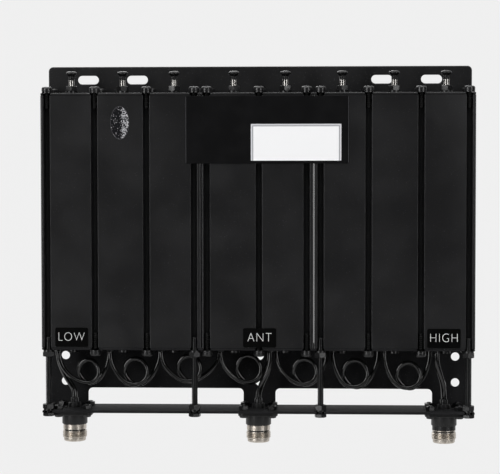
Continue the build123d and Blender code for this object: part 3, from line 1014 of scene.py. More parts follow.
@dataclass(frozen=True)
class MaskedMetal:
    """Bright metal, sprayed black above a masked line and left bare below it.

    It gives the eye clean metal with fine turning marks, and a ragged edge of paint.
    """

    name: str
    edge: float
    metal: str = "#cbc4ba"
    shadow: str = "#a1968a"
    paint: str = "#0c0c0d"
    metal_roughness: float = 0.36
    paint_roughness: float = 0.42
    ragged: float = 0.35
    feather: float = 0.08
    marks: float = 0.004
    specular: float = 0.4
    # Heights of a band drawn in the paint's colour: painted shade in the groove above the thread.
    shaded_groove: tuple[float, float] | None = None

    def build(self) -> bpy.types.Material:
        """Builds the finish.

        Returns:
            Its material.
        """
        material, tree, shader, place = start_material(self.name)
        height = add_node(tree, "ShaderNodeSeparateXYZ", {0: place}).outputs["Z"]
        drift = add_node(tree, "ShaderNodeTexNoise", {"Vector": place, "Scale": per_mm(1.1), "Detail": 3.0})
        shift = add_node(
            tree,
            "ShaderNodeMapRange",
            {"Value": drift, "To Min": -self.ragged * MM, "To Max": self.ragged * MM},
        )
        level = add_node(tree, "ShaderNodeMath", {0: height, 1: shift}, operation="ADD")
        painted = add_node(
            tree,
            "ShaderNodeMapRange",
            {
                "Value": level,
                "From Min": (self.edge - self.feather) * MM,
                "From Max": (self.edge + self.feather) * MM,
            },
        )
        if self.shaded_groove:
            # The groove above the thread is drawn in the paint's colour: painted shade in the recess.
            middle, half = sum(self.shaded_groove) / 2, (self.shaded_groove[1] - self.shaded_groove[0]) / 2
            groove_shade = add_node(
                tree, "ShaderNodeMath", {0: height, 1: middle * MM, 2: half * MM}, operation="COMPARE"
            )
            painted = add_node(tree, "ShaderNodeMath", {0: painted, 1: groove_shade}, operation="MAXIMUM")
        stains = add_node(
            tree, "ShaderNodeTexNoise", {"Vector": place, "Scale": per_mm(1.6), "Detail": 4.0}
        )
        spread = add_node(tree, "ShaderNodeMapRange", {"Value": stains, "From Min": 0.45, "From Max": 0.75})
        metal = add_node(
            tree,
            "ShaderNodeMix",
            {0: spread, 6: linear(self.metal), 7: linear(self.shadow)},
            data_type="RGBA",
        )
        colour = add_node(
            tree,
            "ShaderNodeMix",
            {0: painted, 6: metal.outputs[2], 7: linear(self.paint)},
            data_type="RGBA",
        )
        bare = add_node(tree, "ShaderNodeMath", {0: 1.0, 1: painted}, operation="SUBTRACT")
        rough = add_node(
            tree,
            "ShaderNodeMapRange",
            {"Value": painted, "To Min": self.metal_roughness, "To Max": self.paint_roughness},
        )
        # Turning marks are finer than a pixel, so they are drawn 0.15 mm apart.
        along = add_node(tree, "ShaderNodeMapping", {"Vector": place, "Scale": (0.05, 0.05, 1.0)})
        marks = add_node(
            tree, "ShaderNodeTexNoise", {"Vector": along, "Scale": per_mm(0.15), "Detail": 2.0}
        )
        relief = add_node(
            tree, "ShaderNodeBump", {"Height": marks, "Distance": self.marks * MM, "Strength": 1.0}
        )
        set_shader(
            tree,
            shader,
            {
                "Base Color": colour.outputs[2],
                "Metallic": bare.outputs[0],
                "Roughness": rough.outputs[0],
                "Normal": relief.outputs[0],
                "Specular IOR Level": self.specular,
            },
        )
        return material


@dataclass(frozen=True)
class Plain:
    """A plain material with small unevenness of colour and surface.

    Silver plate looks pale and a little tarnished, gold plate warm and clear, and turned
    PTFE waxy white.
    """

    name: str
    colour: str
    shade: str
    roughness: float
    metallic: float = 0.0
    patch: float = 5.0
    relief: float = 0.01

    def build(self) -> bpy.types.Material:
        """Builds the finish.

        Returns:
            Its material.
        """
        material, tree, shader, place = start_material(self.name)
        cloud = add_node(
            tree, "ShaderNodeTexNoise", {"Vector": place, "Scale": per_mm(self.patch), "Detail": 4.0}
        )
        spread = add_node(tree, "ShaderNodeMapRange", {"Value": cloud, "From Min": 0.4, "From Max": 0.7})
        colour = add_node(
            tree,
            "ShaderNodeMix",
            {0: spread, 6: linear(self.colour), 7: linear(self.shade)},
            data_type="RGBA",
        )
        grain = add_node(tree, "ShaderNodeTexNoise", {"Vector": place, "Scale": per_mm(0.4), "Detail": 2.0})
        relief = add_node(
            tree, "ShaderNodeBump", {"Height": grain, "Distance": self.relief * MM, "Strength": 1.0}
        )
        rough = add_node(
            tree,
            "ShaderNodeMapRange",
            {"Value": cloud, "To Min": self.roughness - 0.05, "To Max": self.roughness + 0.1},
        )
        set_shader(
            tree,
            shader,
            {
                "Base Color": colour.outputs[2],
                "Metallic": self.metallic,
                "Roughness": rough.outputs[0],
                "Normal": relief.outputs[0],
            },
        )
        return material


@dataclass(frozen=True)
class PrintedFilm:
    """Satin black polyester film, which may carry one white printed panel.

    It gives the eye a flat surface, smoother and a shade darker than the paint round it,
    with a faint painted highlight down its sides. Painted shade, a pale grey strip with a
    grey line inside it, runs a little inside the panel's left, upper and right edges.
    """

    name: str
    colour: str = "#050506"
    shade: str = "#0c0c0d"
    # The light line down the film's sides is a painted highlight; the two greys round the panel are painted
    # shade.
    side_highlight: str = "#3c3c3e"
    rim_shade_pale: str = "#c9c9cc"
    rim_shade_line: str = "#95959a"
    print_white: str = "#ebebec"
    film_x: tuple[float, float] | None = None
    panel_x: tuple[float, float] = (0.0, 0.0)
    panel_z: tuple[float, float] = (0.0, 0.0)
    film_edge: float = 0.35
    line_inset: float = 0.9
    white_inset: float = 1.55
    print_blur: float = 0.1
    relief: float = 0.006
    roughness: float = 0.5
    specular: float = 0.1

    def build(self) -> bpy.types.Material:
        """Builds the finish.

        Returns:
            Its material.
        """
        material, tree, shader, place = start_material(self.name)
        cloud = add_node(tree, "ShaderNodeTexNoise", {"Vector": place, "Scale": per_mm(12), "Detail": 3.0})
        spread = add_node(tree, "ShaderNodeMapRange", {"Value": cloud, "From Min": 0.4, "From Max": 0.75})
        colour = add_node(
            tree,
            "ShaderNodeMix",
            {0: spread, 6: linear(self.colour), 7: linear(self.shade)},
            data_type="RGBA",
        ).outputs[2]
        if self.film_x:
            colour = self._print_and_painted_light(tree, place, colour)
        grain = add_node(tree, "ShaderNodeTexNoise", {"Vector": place, "Scale": per_mm(0.8), "Detail": 1.0})
        relief = add_node(
            tree, "ShaderNodeBump", {"Height": grain, "Distance": self.relief * MM, "Strength": 1.0}
        )
        set_shader(
            tree,
            shader,
            {
                "Base Color": colour,
                "Roughness": self.roughness,
                "Normal": relief.outputs[0],
                "Specular IOR Level": self.specular,
            },
        )
        return material

    def _print_and_painted_light(
        self, tree: bpy.types.NodeTree, place: bpy.types.NodeSocket, film: bpy.types.NodeSocket
    ) -> bpy.types.NodeSocket:
        """Lays the painted side highlight, the painted shade round the panel and the printed panel over the
        film's colour.

        Args:
            tree: The material's tree.
            place: The object coordinates.
            film: The film's colour.

        Returns:
            The printed colour.
        """
        spot = add_node(tree, "ShaderNodeSeparateXYZ", {0: place})
        # The painted highlight runs down the film's sides only, so its mask reaches past top and foot.
        past = 50.0
        tall = (self.panel_z[0] - past, self.panel_z[1] + past)
        inner = (self.film_x[0] + self.film_edge, self.film_x[1] - self.film_edge)
        colour = linear(self.side_highlight)
        # Over the painted side highlight come the film, the pale strip and grey line of painted shade round
        # the panel, and the printed white.
        for tone, across, up in (
            (film, inner, tall),
            (linear(self.rim_shade_pale), self.panel_x, self.panel_z),
            (linear(self.rim_shade_line), *self._inset(self.line_inset)),
            (linear(self.print_white), *self._inset(self.white_inset)),
        ):
            masks = []
            for axis, (low, high) in (("X", across), ("Z", up)):
                centre, half = (low + high) / 2, (high - low) / 2
                away = add_node(
                    tree, "ShaderNodeMath", {0: spot.outputs[axis], 1: centre * MM}, operation="SUBTRACT"
                )
                reach = add_node(tree, "ShaderNodeMath", {0: away}, operation="ABSOLUTE")
                masks.append(
                    add_node(
                        tree,
                        "ShaderNodeMapRange",
                        {
                            "Value": reach,
                            "From Min": (half - self.print_blur) * MM,
                            "From Max": (half + self.print_blur) * MM,
                            "To Min": 1.0,
                            "To Max": 0.0,
                        },
                    )
                )
            inside = add_node(tree, "ShaderNodeMath", {0: masks[0], 1: masks[1]}, operation="MULTIPLY")
            colour = add_node(
                tree, "ShaderNodeMix", {0: inside, 6: colour, 7: tone}, data_type="RGBA"
            ).outputs[2]
        return colour

    def _inset(self, inset: float) -> tuple[tuple[float, float], tuple[float, float]]:
        """The panel drawn in by an inset, except at its foot."""
        (left, right), (low, high) = self.panel_x, self.panel_z
        return (left + inset, right - inset), (low, high - inset)


@dataclass(frozen=True)
class EmbossedFoil:
    """Dark embossed foil whose right half throws back the light in small flecks.

    It gives the eye a black oval with a grey rim and a scatter of silver points, painted glints of its
    embossing.
    """

    name: str
    centre: tuple[float, float]
    half: tuple[float, float]
    dark: str = "#0e0e11"
    # Colour of the painted glints.
    painted_glint: str = "#b0b0b3"
    rim: str = "#454547"
    roughness: float = 0.3
    specular: float = 0.4
    relief: float = 0.02

    def build(self) -> bpy.types.Material:
        """Builds the finish.

        Returns:
            Its material.
        """
        material, tree, shader, place = start_material(self.name)
        spot = add_node(tree, "ShaderNodeSeparateXYZ", {0: place})
        ratios = []
        for axis, centre, half in zip(("X", "Z"), self.centre, self.half):
            away = add_node(
                tree, "ShaderNodeMath", {0: spot.outputs[axis], 1: centre * MM}, operation="SUBTRACT"
            )
            ratios.append(add_node(tree, "ShaderNodeMath", {0: away, 1: half * MM}, operation="DIVIDE"))
        oval = add_node(tree, "ShaderNodeCombineXYZ", {"X": ratios[0], "Y": ratios[1]})
        reach = add_node(tree, "ShaderNodeVectorMath", {0: oval}, operation="LENGTH").outputs["Value"]
        rim = add_node(tree, "ShaderNodeMapRange", {"Value": reach, "From Min": 0.95, "From Max": 0.975})
        # More painted glints towards the right: the noise has to pass a lower bar there.
        bar = add_node(
            tree,
            "ShaderNodeMapRange",
            {"Value": ratios[0], "From Min": -0.05, "From Max": 0.4, "To Min": 0.67, "To Max": 0.49},
            interpolation_type="SMOOTHSTEP",
        )
        grain = add_node(tree, "ShaderNodeTexNoise", {"Vector": place, "Scale": per_mm(0.7), "Detail": 1.0})
        over = add_node(tree, "ShaderNodeMath", {0: grain, 1: bar}, operation="SUBTRACT")
        painted_glint = add_node(tree, "ShaderNodeMapRange", {"Value": over, "From Min": -0.01, "From Max": 0.05})
        flecked = add_node(
            tree,
            "ShaderNodeMix",
            {0: painted_glint, 6: linear(self.dark), 7: linear(self.painted_glint)},
            data_type="RGBA",
        )
        rimmed = add_node(
            tree,
            "ShaderNodeMix",
            {0: rim, 6: flecked.outputs[2], 7: linear(self.rim)},
            data_type="RGBA",
        )
        relief = add_node(
            tree, "ShaderNodeBump", {"Height": grain, "Distance": self.relief * MM, "Strength": 1.0}
        )
        set_shader(
            tree,
            shader,
            {
                "Base Color": rimmed.outputs[2],
                "Roughness": self.roughness,
                "Normal": relief.outputs[0],
                "Specular IOR Level": self.specular,
            },
        )
        return material


# Sub-assemblies


@dataclass
class Finishes:
    """The shared finishes, each built once, and the heights of the masked lines in millimetres."""

    tuning_edge: float = -1.05
    low_edge: float = -223.75
    antenna_edge: float = -223.75
    high_edge: float = -226.4
    extrusion: bpy.types.Material = field(init=False)
    sheet: bpy.types.Material = field(init=False)
    bracket_with_painted_light: bpy.types.Material = field(init=False)
    fastener: bpy.types.Material = field(init=False)
    jacket: bpy.types.Material = field(init=False)
    channel_thread_shade: bpy.types.Material = field(init=False)

    def __post_init__(self) -> None:
        """Builds the shared finishes."""
        self.extrusion = Enamel("enamel_on_extrusion", die_line=1.1).build()
        self.sheet = Enamel(
            "enamel_on_sheet", colour="#101011", worn="#171718", roughness=0.4, specular=0.3, peel=1.8
        ).build()
        # The bracket has the same sprayed enamel; its paler, dull grey colour is painted light that
        # brightens its shaded web and legs.
        self.bracket_with_painted_light = Enamel(
            "enamel_on_bracket",
            colour="#1c1c1d",
            worn="#232324",
            roughness=0.55,
            specular=0.02,
            peel=1.8,
        ).build()
        self.fastener = Enamel(
            "enamel_on_fasteners", colour="#0b0b0c", worn="#141415", roughness=0.3, specular=0.5, peel=0.7
        ).build()
        self.jacket = Enamel(
            "enamel_on_cable",
            colour="#050505",
            worn="#0a0a0a",
            roughness=0.14,
            specular=0.55,
            peel=0.9,
            peel_depth=0.003,
        ).build()
        # Threads in the channels got next to no spray; their very dark, dull colour is painted shade in the
        # channels.
        self.channel_thread_shade = Enamel(
            "black_oxide", colour="#070707", worn="#0d0d0d", roughness=0.55, specular=0.12, dust_share=0.1
        ).build()


@dataclass(frozen=True)
class Lamp:
    """A soft box: its place and its two widths in metres, and its power in watts."""

    name: str
    place: tuple[float, float, float]
    size: tuple[float, float]
    power: float


@dataclass
class Studio:
    """Floor, backdrop, lamps and camera, in metres."""

    pale: str = "#f1f1f1"
    floor_z: float = -1.0
    backdrop_y: float = 2.4
    reach: float = 12.0
    lens: float = 126.92
    camera_place: tuple[float, float, float] = (0.04698, -1.1537, -0.05184)
    # In radians: up from level, to the left, and about the line of sight.
    camera_pitch: float = -0.04416
    camera_turn: float = 0.04607
    camera_roll: float = -0.00116
    # The world's strength as a light.
    sky: float = 0.24
    room_radius: float = 2.7
    # The dark screen goes this many degrees round to each side.
    room_turn: float = 105.0
    room_top: float = 1.3
    room_colour: str = "#242426"
    room_steps: int = 16
    # How much of the paper's look is its own plain colour, and how rough paper and cloth are.
    paper_glow: float = 0.97
    matt: float = 0.9
    aim: tuple[float, float, float] = (0.0, -0.02, -0.11)
    lamps: tuple[Lamp, ...] = (
        Lamp("key_left", (-1.3, -1.42, 0.2), (0.5, 1.5), 17.0),
        Lamp("fill_right", (1.3, -1.42, 0.1), (0.4, 1.0), 8.2),
        Lamp("top", (0.1, -0.75, 1.5), (1.8, 0.6), 22.0),
        Lamp("rear", (-0.4, 1.5, 0.9), (1.2, 0.8), 11.0),
    )

    def build(self) -> None:
        """Sets up the stage, the light and the camera."""
        self._world()
        self._stage()
        self._lamps()
        self._dim_room()
        self._camera()
        LOG.info("studio: floor, backdrop, lamps and camera")

    def _seen(self, tree: bpy.types.NodeTree) -> bpy.types.NodeSocket:
        """Tells the rays that look from those that carry light.

        Args:
            tree: The tree that gets the nodes.

        Returns:
            One for a camera, glossy or transmission ray, else nought.
        """
        path = add_node(tree, "ShaderNodeLightPath")
        seen = add_node(
            tree,
            "ShaderNodeMath",
            {0: path.outputs["Is Camera Ray"], 1: path.outputs["Is Glossy Ray"]},
            operation="MAXIMUM",
        )
        return add_node(
            tree,
            "ShaderNodeMath",
            {0: seen, 1: path.outputs["Is Transmission Ray"]},
            operation="MAXIMUM",
        ).outputs[0]

    def _world(self) -> None:
        """Pale where it is seen, dimmer as a light."""
        world = bpy.data.worlds.new("studio")
        bpy.context.scene.world = world
        world.use_nodes = True
        tree = world.node_tree
        ground = tree.nodes["Background"]
        ground.inputs["Color"].default_value = linear(self.pale)
        level = add_node(
            tree, "ShaderNodeMapRange", {"Value": self._seen(tree), "To Min": self.sky, "To Max": 1.0}
        )
        tree.links.new(level.outputs[0], ground.inputs["Strength"])

    def _stage(self) -> None:
        """Lays the floor and stands the backdrop on it."""
        half = self.reach / 2
        foot, top, y = self.floor_z, self.floor_z + half, self.backdrop_y
        floor = bpy.data.meshes.new("floor")
        level = [(x * half, side * half, foot) for x, side in ((-1, -1), (1, -1), (1, 1), (-1, 1))]
        floor.from_pydata(level, [], [(0, 1, 2, 3)])
        wall = bpy.data.meshes.new("backdrop")
        upright = [(-half, y, foot), (half, y, foot), (half, y, top), (-half, y, top)]
        wall.from_pydata(upright, [], [(0, 1, 2, 3)])
        material = bpy.data.materials.new("pale_paper")
        material.use_nodes = True
        tree = material.node_tree
        paper = tree.nodes["Principled BSDF"]
        paper.inputs["Base Color"].default_value = linear(self.pale)
        paper.inputs["Roughness"].default_value = self.matt
        paper.inputs["Specular IOR Level"].default_value = 0.0
        glow = add_node(tree, "ShaderNodeEmission", {"Color": linear(self.pale), "Strength": 1.0})
        share = add_node(
            tree, "ShaderNodeMath", {0: self._seen(tree), 1: self.paper_glow}, operation="MULTIPLY"
        )
        mix = add_node(tree, "ShaderNodeMixShader", {0: share, 1: paper, 2: glow})
        tree.links.new(mix.outputs[0], tree.nodes["Material Output"].inputs["Surface"])
        for mesh in (floor, wall):
            mesh.materials.append(material)
            shown(mesh, mesh.name)

    def _lamps(self) -> None:
        """Hangs a soft box on each side, one above and a weak one behind."""
        for lamp in self.lamps:
            box = bpy.data.lights.new(lamp.name, "AREA")
            box.shape, box.energy = "RECTANGLE", lamp.power
            box.size, box.size_y = lamp.size
            holder = bpy.data.objects.new(lamp.name, box)
            holder.location = lamp.place
            line = Vector(self.aim) - Vector(lamp.place)
            holder.rotation_euler = line.to_track_quat("-Z", "Y").to_euler()
            holder.visible_camera = False
            bpy.context.scene.collection.objects.link(holder)

    def _dim_room(self) -> None:
        """Stands a dark curved screen behind the camera, which only reflections see."""
        steps = self.room_steps
        screen = bpy.data.meshes.new("dim_room")
        turns = [math.radians(self.room_turn * (2 * i / steps - 1)) for i in range(steps + 1)]
        points = [(self.room_radius * math.sin(a), -self.room_radius * math.cos(a)) for a in turns]
        verts = [(x, y, z) for z in (self.floor_z, self.room_top) for x, y in points]
        faces = [(i, i + 1, i + steps + 2, i + steps + 1) for i in range(steps)]
        screen.from_pydata(verts, [], faces)
        cloth = bpy.data.materials.new("dark_cloth")
        cloth.use_nodes = True
        weave = cloth.node_tree.nodes["Principled BSDF"]
        weave.inputs["Base Color"].default_value = linear(self.room_colour)
        weave.inputs["Roughness"].default_value = self.matt
        screen.materials.append(cloth)
        piece = shown(screen, "dim_room")
        piece.visible_camera = piece.visible_diffuse = piece.visible_shadow = False
        piece.visible_transmission = False

    def _camera(self) -> None:
        """Stands the camera where the photograph was taken from."""
        view = bpy.data.cameras.new("camera")
        view.lens, view.sensor_width = self.lens, 36.0
        holder = bpy.data.objects.new("camera", view)
        holder.location = self.camera_place
        turn = Matrix.Rotation(self.camera_turn, 4, "Z")
        pitch = Matrix.Rotation(math.pi / 2 + self.camera_pitch, 4, "X")
        holder.rotation_euler = (turn @ pitch @ Matrix.Rotation(self.camera_roll, 4, "Z")).to_euler()
        bpy.context.scene.collection.objects.link(holder)
        bpy.context.scene.camera = holder
        bpy.context.scene.view_settings.view_transform = "Standard"


@dataclass
class Casing:
    """The three cavity extrusions, the top cover and the bottom bracket."""

    finishes: Finishes
    extrusion_ease: float = 0.55
    sheet_ease: float = 0.65
    seam_coat: float = 0.26

    def build(self) -> None:
        """Eases and paints each casing piece."""
        for side in ("left", "middle", "right"):
            node = f"housing_{side}"
            name, ease = f"extrusion_{side}", self.extrusion_ease
            mesh = eased_copy(node, name, ease, upright_on_face, prepare=squared_groove)
            self._coat_seam(mesh)
            dress(shown(mesh, mesh.name), self.finishes.extrusion, nodes=[node])
        for node, name, paint in (
            ("top_cover", "cover_with_flange", self.finishes.sheet),
            # The bracket's paler enamel is painted light for its shaded web and legs.
            ("bottom_bracket", "cover_with_shelf", self.finishes.bracket_with_painted_light),
        ):
            mesh = eased_copy(node, name, self.sheet_ease)
            dress(shown(mesh, name), paint, nodes=[node])

    def _coat_seam(self, mesh: bpy.types.Mesh) -> None:
        """Thickens the faces at the seams by the paint that ran in and gathered there.

        Args:
            mesh: An extrusion.
        """
        left, middle, right = (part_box(f"housing_{side}") for side in ("left", "middle", "right"))
        for face, way in ((left[1][0], 1), (middle[0][0], -1), (middle[1][0], 1), (right[0][0], -1)):
            for vert in mesh.vertices:
                if abs(vert.co.x - face) < ON_SEAM * MM:
                    vert.co.x += way * self.seam_coat * MM


@dataclass
class Fasteners:
    """Cover screws, stand-off rods and their nuts and washers, in millimetres."""

    finishes: Finishes
    tree: bpy.types.NodeTree
    threads: bpy.types.NodeTree
    head_diameter: float = 7.0
    head_height: float = 2.9
    recess_span: float = 4.1
    recess_width: float = 1.05
    recess_depth: float = 1.7
    washer_height: float = 1.1
    washer_outer: float = 6.8
    washer_inner: float = 4.1
    screw_length: float = 10.0
    core_diameter: float = 3.7
    metric_four: Thread = field(default_factory=lambda: Thread(4.0, 0.7, 0.43, 0.6))
    self_tapping: Thread = field(default_factory=lambda: Thread(3.7, 1.3, 0.45, 2.0))
    nut_width: float = 7.0

    def cover_screw(self, facing: Facing) -> bpy.types.Mesh:
        """Makes a pan-head cover screw on its spring washer, from the cover's face.

        Args:
            facing: Where its head looks.

        Returns:
            The template.
        """
        r, h = self.head_diameter / 2, self.head_height
        head = turned(
            "head",
            (
                (0.0, 0.0),
                (r - 0.12, 0.0),
                (r, 0.12),
                (r, h * 0.55),
                (r - 0.07, h * 0.68),
                (r - 0.27, h * 0.82),
                (r - 0.62, h * 0.93),
                (r - 1.2, h * 0.985),
                (r - 2.2, h),
                (0.0, h),
            ),
        )
        head = carved(head, cross_recess(self.recess_span, self.recess_width, h, self.recess_depth))
        head.transform(Matrix.Translation((0, 0, self.washer_height * MM)))
        washer = spring_washer("washer", self.washer_outer, self.washer_inner, self.washer_height)
        template = joined("cover_screw", (head, washer))
        if facing is Facing.DOWN:
            template.transform(Matrix.Rotation(math.pi, 4, "X"))
        return template

    def place(
        self,
        name: str,
        template: bpy.types.Mesh,
        points: Sequence[Vector],
        finish: bpy.types.Material,
        turn: float = 0.0,
        seed: int = 1,
    ) -> bpy.types.Mesh:
        """Puts a template on every point.

        Args:
            name: The mesh's name.
            template: The template, which is used up.
            points: Its places.
            finish: Its material.
            turn: The most that a piece is turned either way, in degrees.
            seed: Picks the turns.

        Returns:
            The mesh.
        """
        model = shown(template, f"{name}_template")
        values = {"Template": model, "Turn": math.radians(turn), "Seed": seed, "Finish": finish}
        mesh = grown(name, self.tree, points, values)
        discard(model)
        return mesh

    def build(self) -> None:
        """Builds the screws, nuts, washers and rods."""
        steel = self.finishes.fastener
        stack = (self.head_height + self.washer_height) * MM
        for node, facing, seed in (
            ("cover_screws_top", Facing.UP, 3),
            ("cover_screws_bottom", Facing.DOWN, 5),
        ):
            spots = [
                s.on_axis(s.high.z - stack if facing is Facing.UP else s.low.z + stack)
                for s in loose_pieces(node)
            ]
            mesh = self.place(node, self.cover_screw(facing), spots, steel, turn=180, seed=seed)
            dress(shown(mesh, f"{node}_dressed"), steel, nodes=[node])
            rise = self.screw_length if facing is Facing.UP else -self.washer_height / 2
            feet = [spot - Vector((0, 0, rise * MM)) for spot in spots]
            length = self.screw_length + self.washer_height / 2
            # The shanks deep in the channels are drawn very dark: painted shade.
            channel_thread_shade = self.finishes.channel_thread_shade
            shanks = self.self_tapping.wound(f"{node}_shanks", self.threads, feet, length, channel_thread_shade)
            dress(shown(shanks, shanks.name), channel_thread_shade)
        for node, seed in (("rod_cover_nuts", 7), ("shelf_nuts", 8), ("shelf_thin_nuts", 9)):
            spans = loose_pieces(node)
            height = (spans[0].high.z - spans[0].low.z) / MM
            nut = hexagon_nut("nut", self.nut_width, height, self.core_diameter)
            mesh = self.place(node, nut, [s.on_axis(s.low.z) for s in spans], steel, turn=9, seed=seed)
            dress(shown(mesh, f"{node}_dressed"), steel, nodes=[node])
        rods = loose_pieces("standoff_rods")
        length = (rods[0].high.z - rods[0].low.z) / MM
        feet = [s.on_axis(s.low.z) for s in rods]
        mesh = self.metric_four.wound("threaded_rods", self.threads, feet, length, steel)
        dress(shown(mesh, mesh.name), steel, nodes=["standoff_rods"])
        for node in ("rod_cover_washers", "shelf_washers", "resonator_screws"):
            paint_node(node, steel)


@dataclass
class Tuners:
    """The eight tuning screws with their lock nuts and bushes, in millimetres."""

    finishes: Finishes
    fasteners: Fasteners
    count: int = 8
    cone_bottom: float = 1.55
    rim_radius: float = 3.5
    head_rise: float = 3.2
    recess_span: float = 3.4
    recess_width: float = 0.9
    recess_depth: float = 1.2
    bore_allowance: float = 0.4
    thread: Thread = field(default_factory=lambda: Thread(4.0, 0.7, 0.16, 0.5))
    neck_gap: float = 0.35

    def head(self) -> bpy.types.Mesh:
        """Makes the domed head with its cross recess, cone and short neck.

        Returns:
            The mesh, about the upright axis.
        """
        r, z = self.rim_radius, self.cone_bottom
        top = z + self.head_rise
        outline = (
            (0.0, z - 1.0),
            (1.72, z - 1.0),
            (1.72, z - 0.2),
            (2.0, z),
            (r - 0.25, z + 1.3),
            (r - 0.04, z + 1.4),
            (r, z + 1.55),
            (r, z + 2.1),
            (r - 0.1, z + 2.3),
            (r - 0.5, z + 2.65),
            (r - 1.2, z + 2.95),
            (r - 2.1, z + 3.13),
            (r - 2.9, z + 3.19),
            (0.0, top),
        )
        recess = cross_recess(self.recess_span, self.recess_width, top, self.recess_depth, 0.6)
        return carved(turned("tuning_head", outline), recess)

    def build(self) -> None:
        """Builds every tuning screw on its own body, then the nuts and bushes."""
        finish = MaskedMetal(
            "tuning_screw_steel",
            self.finishes.tuning_edge,
            metal="#b4b2af",
            shadow="#a3a19d",
            metal_roughness=0.2,
            marks=0.0005,
        ).build()
        for number in range(1, self.count + 1):
            node = f"tuning_screw_{number}"
            low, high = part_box(node)
            axis = Vector(((low[0] + high[0]) / 2, (low[1] + high[1]) / 2, 0.0))
            foot = Vector((axis.x, axis.y, low[2]))
            length = self.cone_bottom - self.neck_gap - low[2] / MM
            shank = self.thread.wound("shank", self.fasteners.threads, [foot], length, finish)
            head = self.head()
            head.transform(Matrix.Translation(axis))
            mesh = joined(f"tuner_{number}_screw", (shank, head))
            dress(shown(mesh, mesh.name), finish, f"tuner_{number}", [node])
        brass = self.finishes.fastener
        spans = loose_pieces("lock_nuts")
        height = (spans[0].high.z - spans[0].low.z) / MM
        bore = self.fasteners.core_diameter + self.bore_allowance
        nut = hexagon_nut("nut", self.fasteners.nut_width, height, bore)
        places = [s.on_axis(s.low.z) for s in spans]
        mesh = self.fasteners.place("lock_nuts", nut, places, brass, turn=14, seed=12)
        dress(shown(mesh, "lock_nuts_dressed"), brass, nodes=["lock_nuts"])
        paint_node("tuning_bushes", brass)


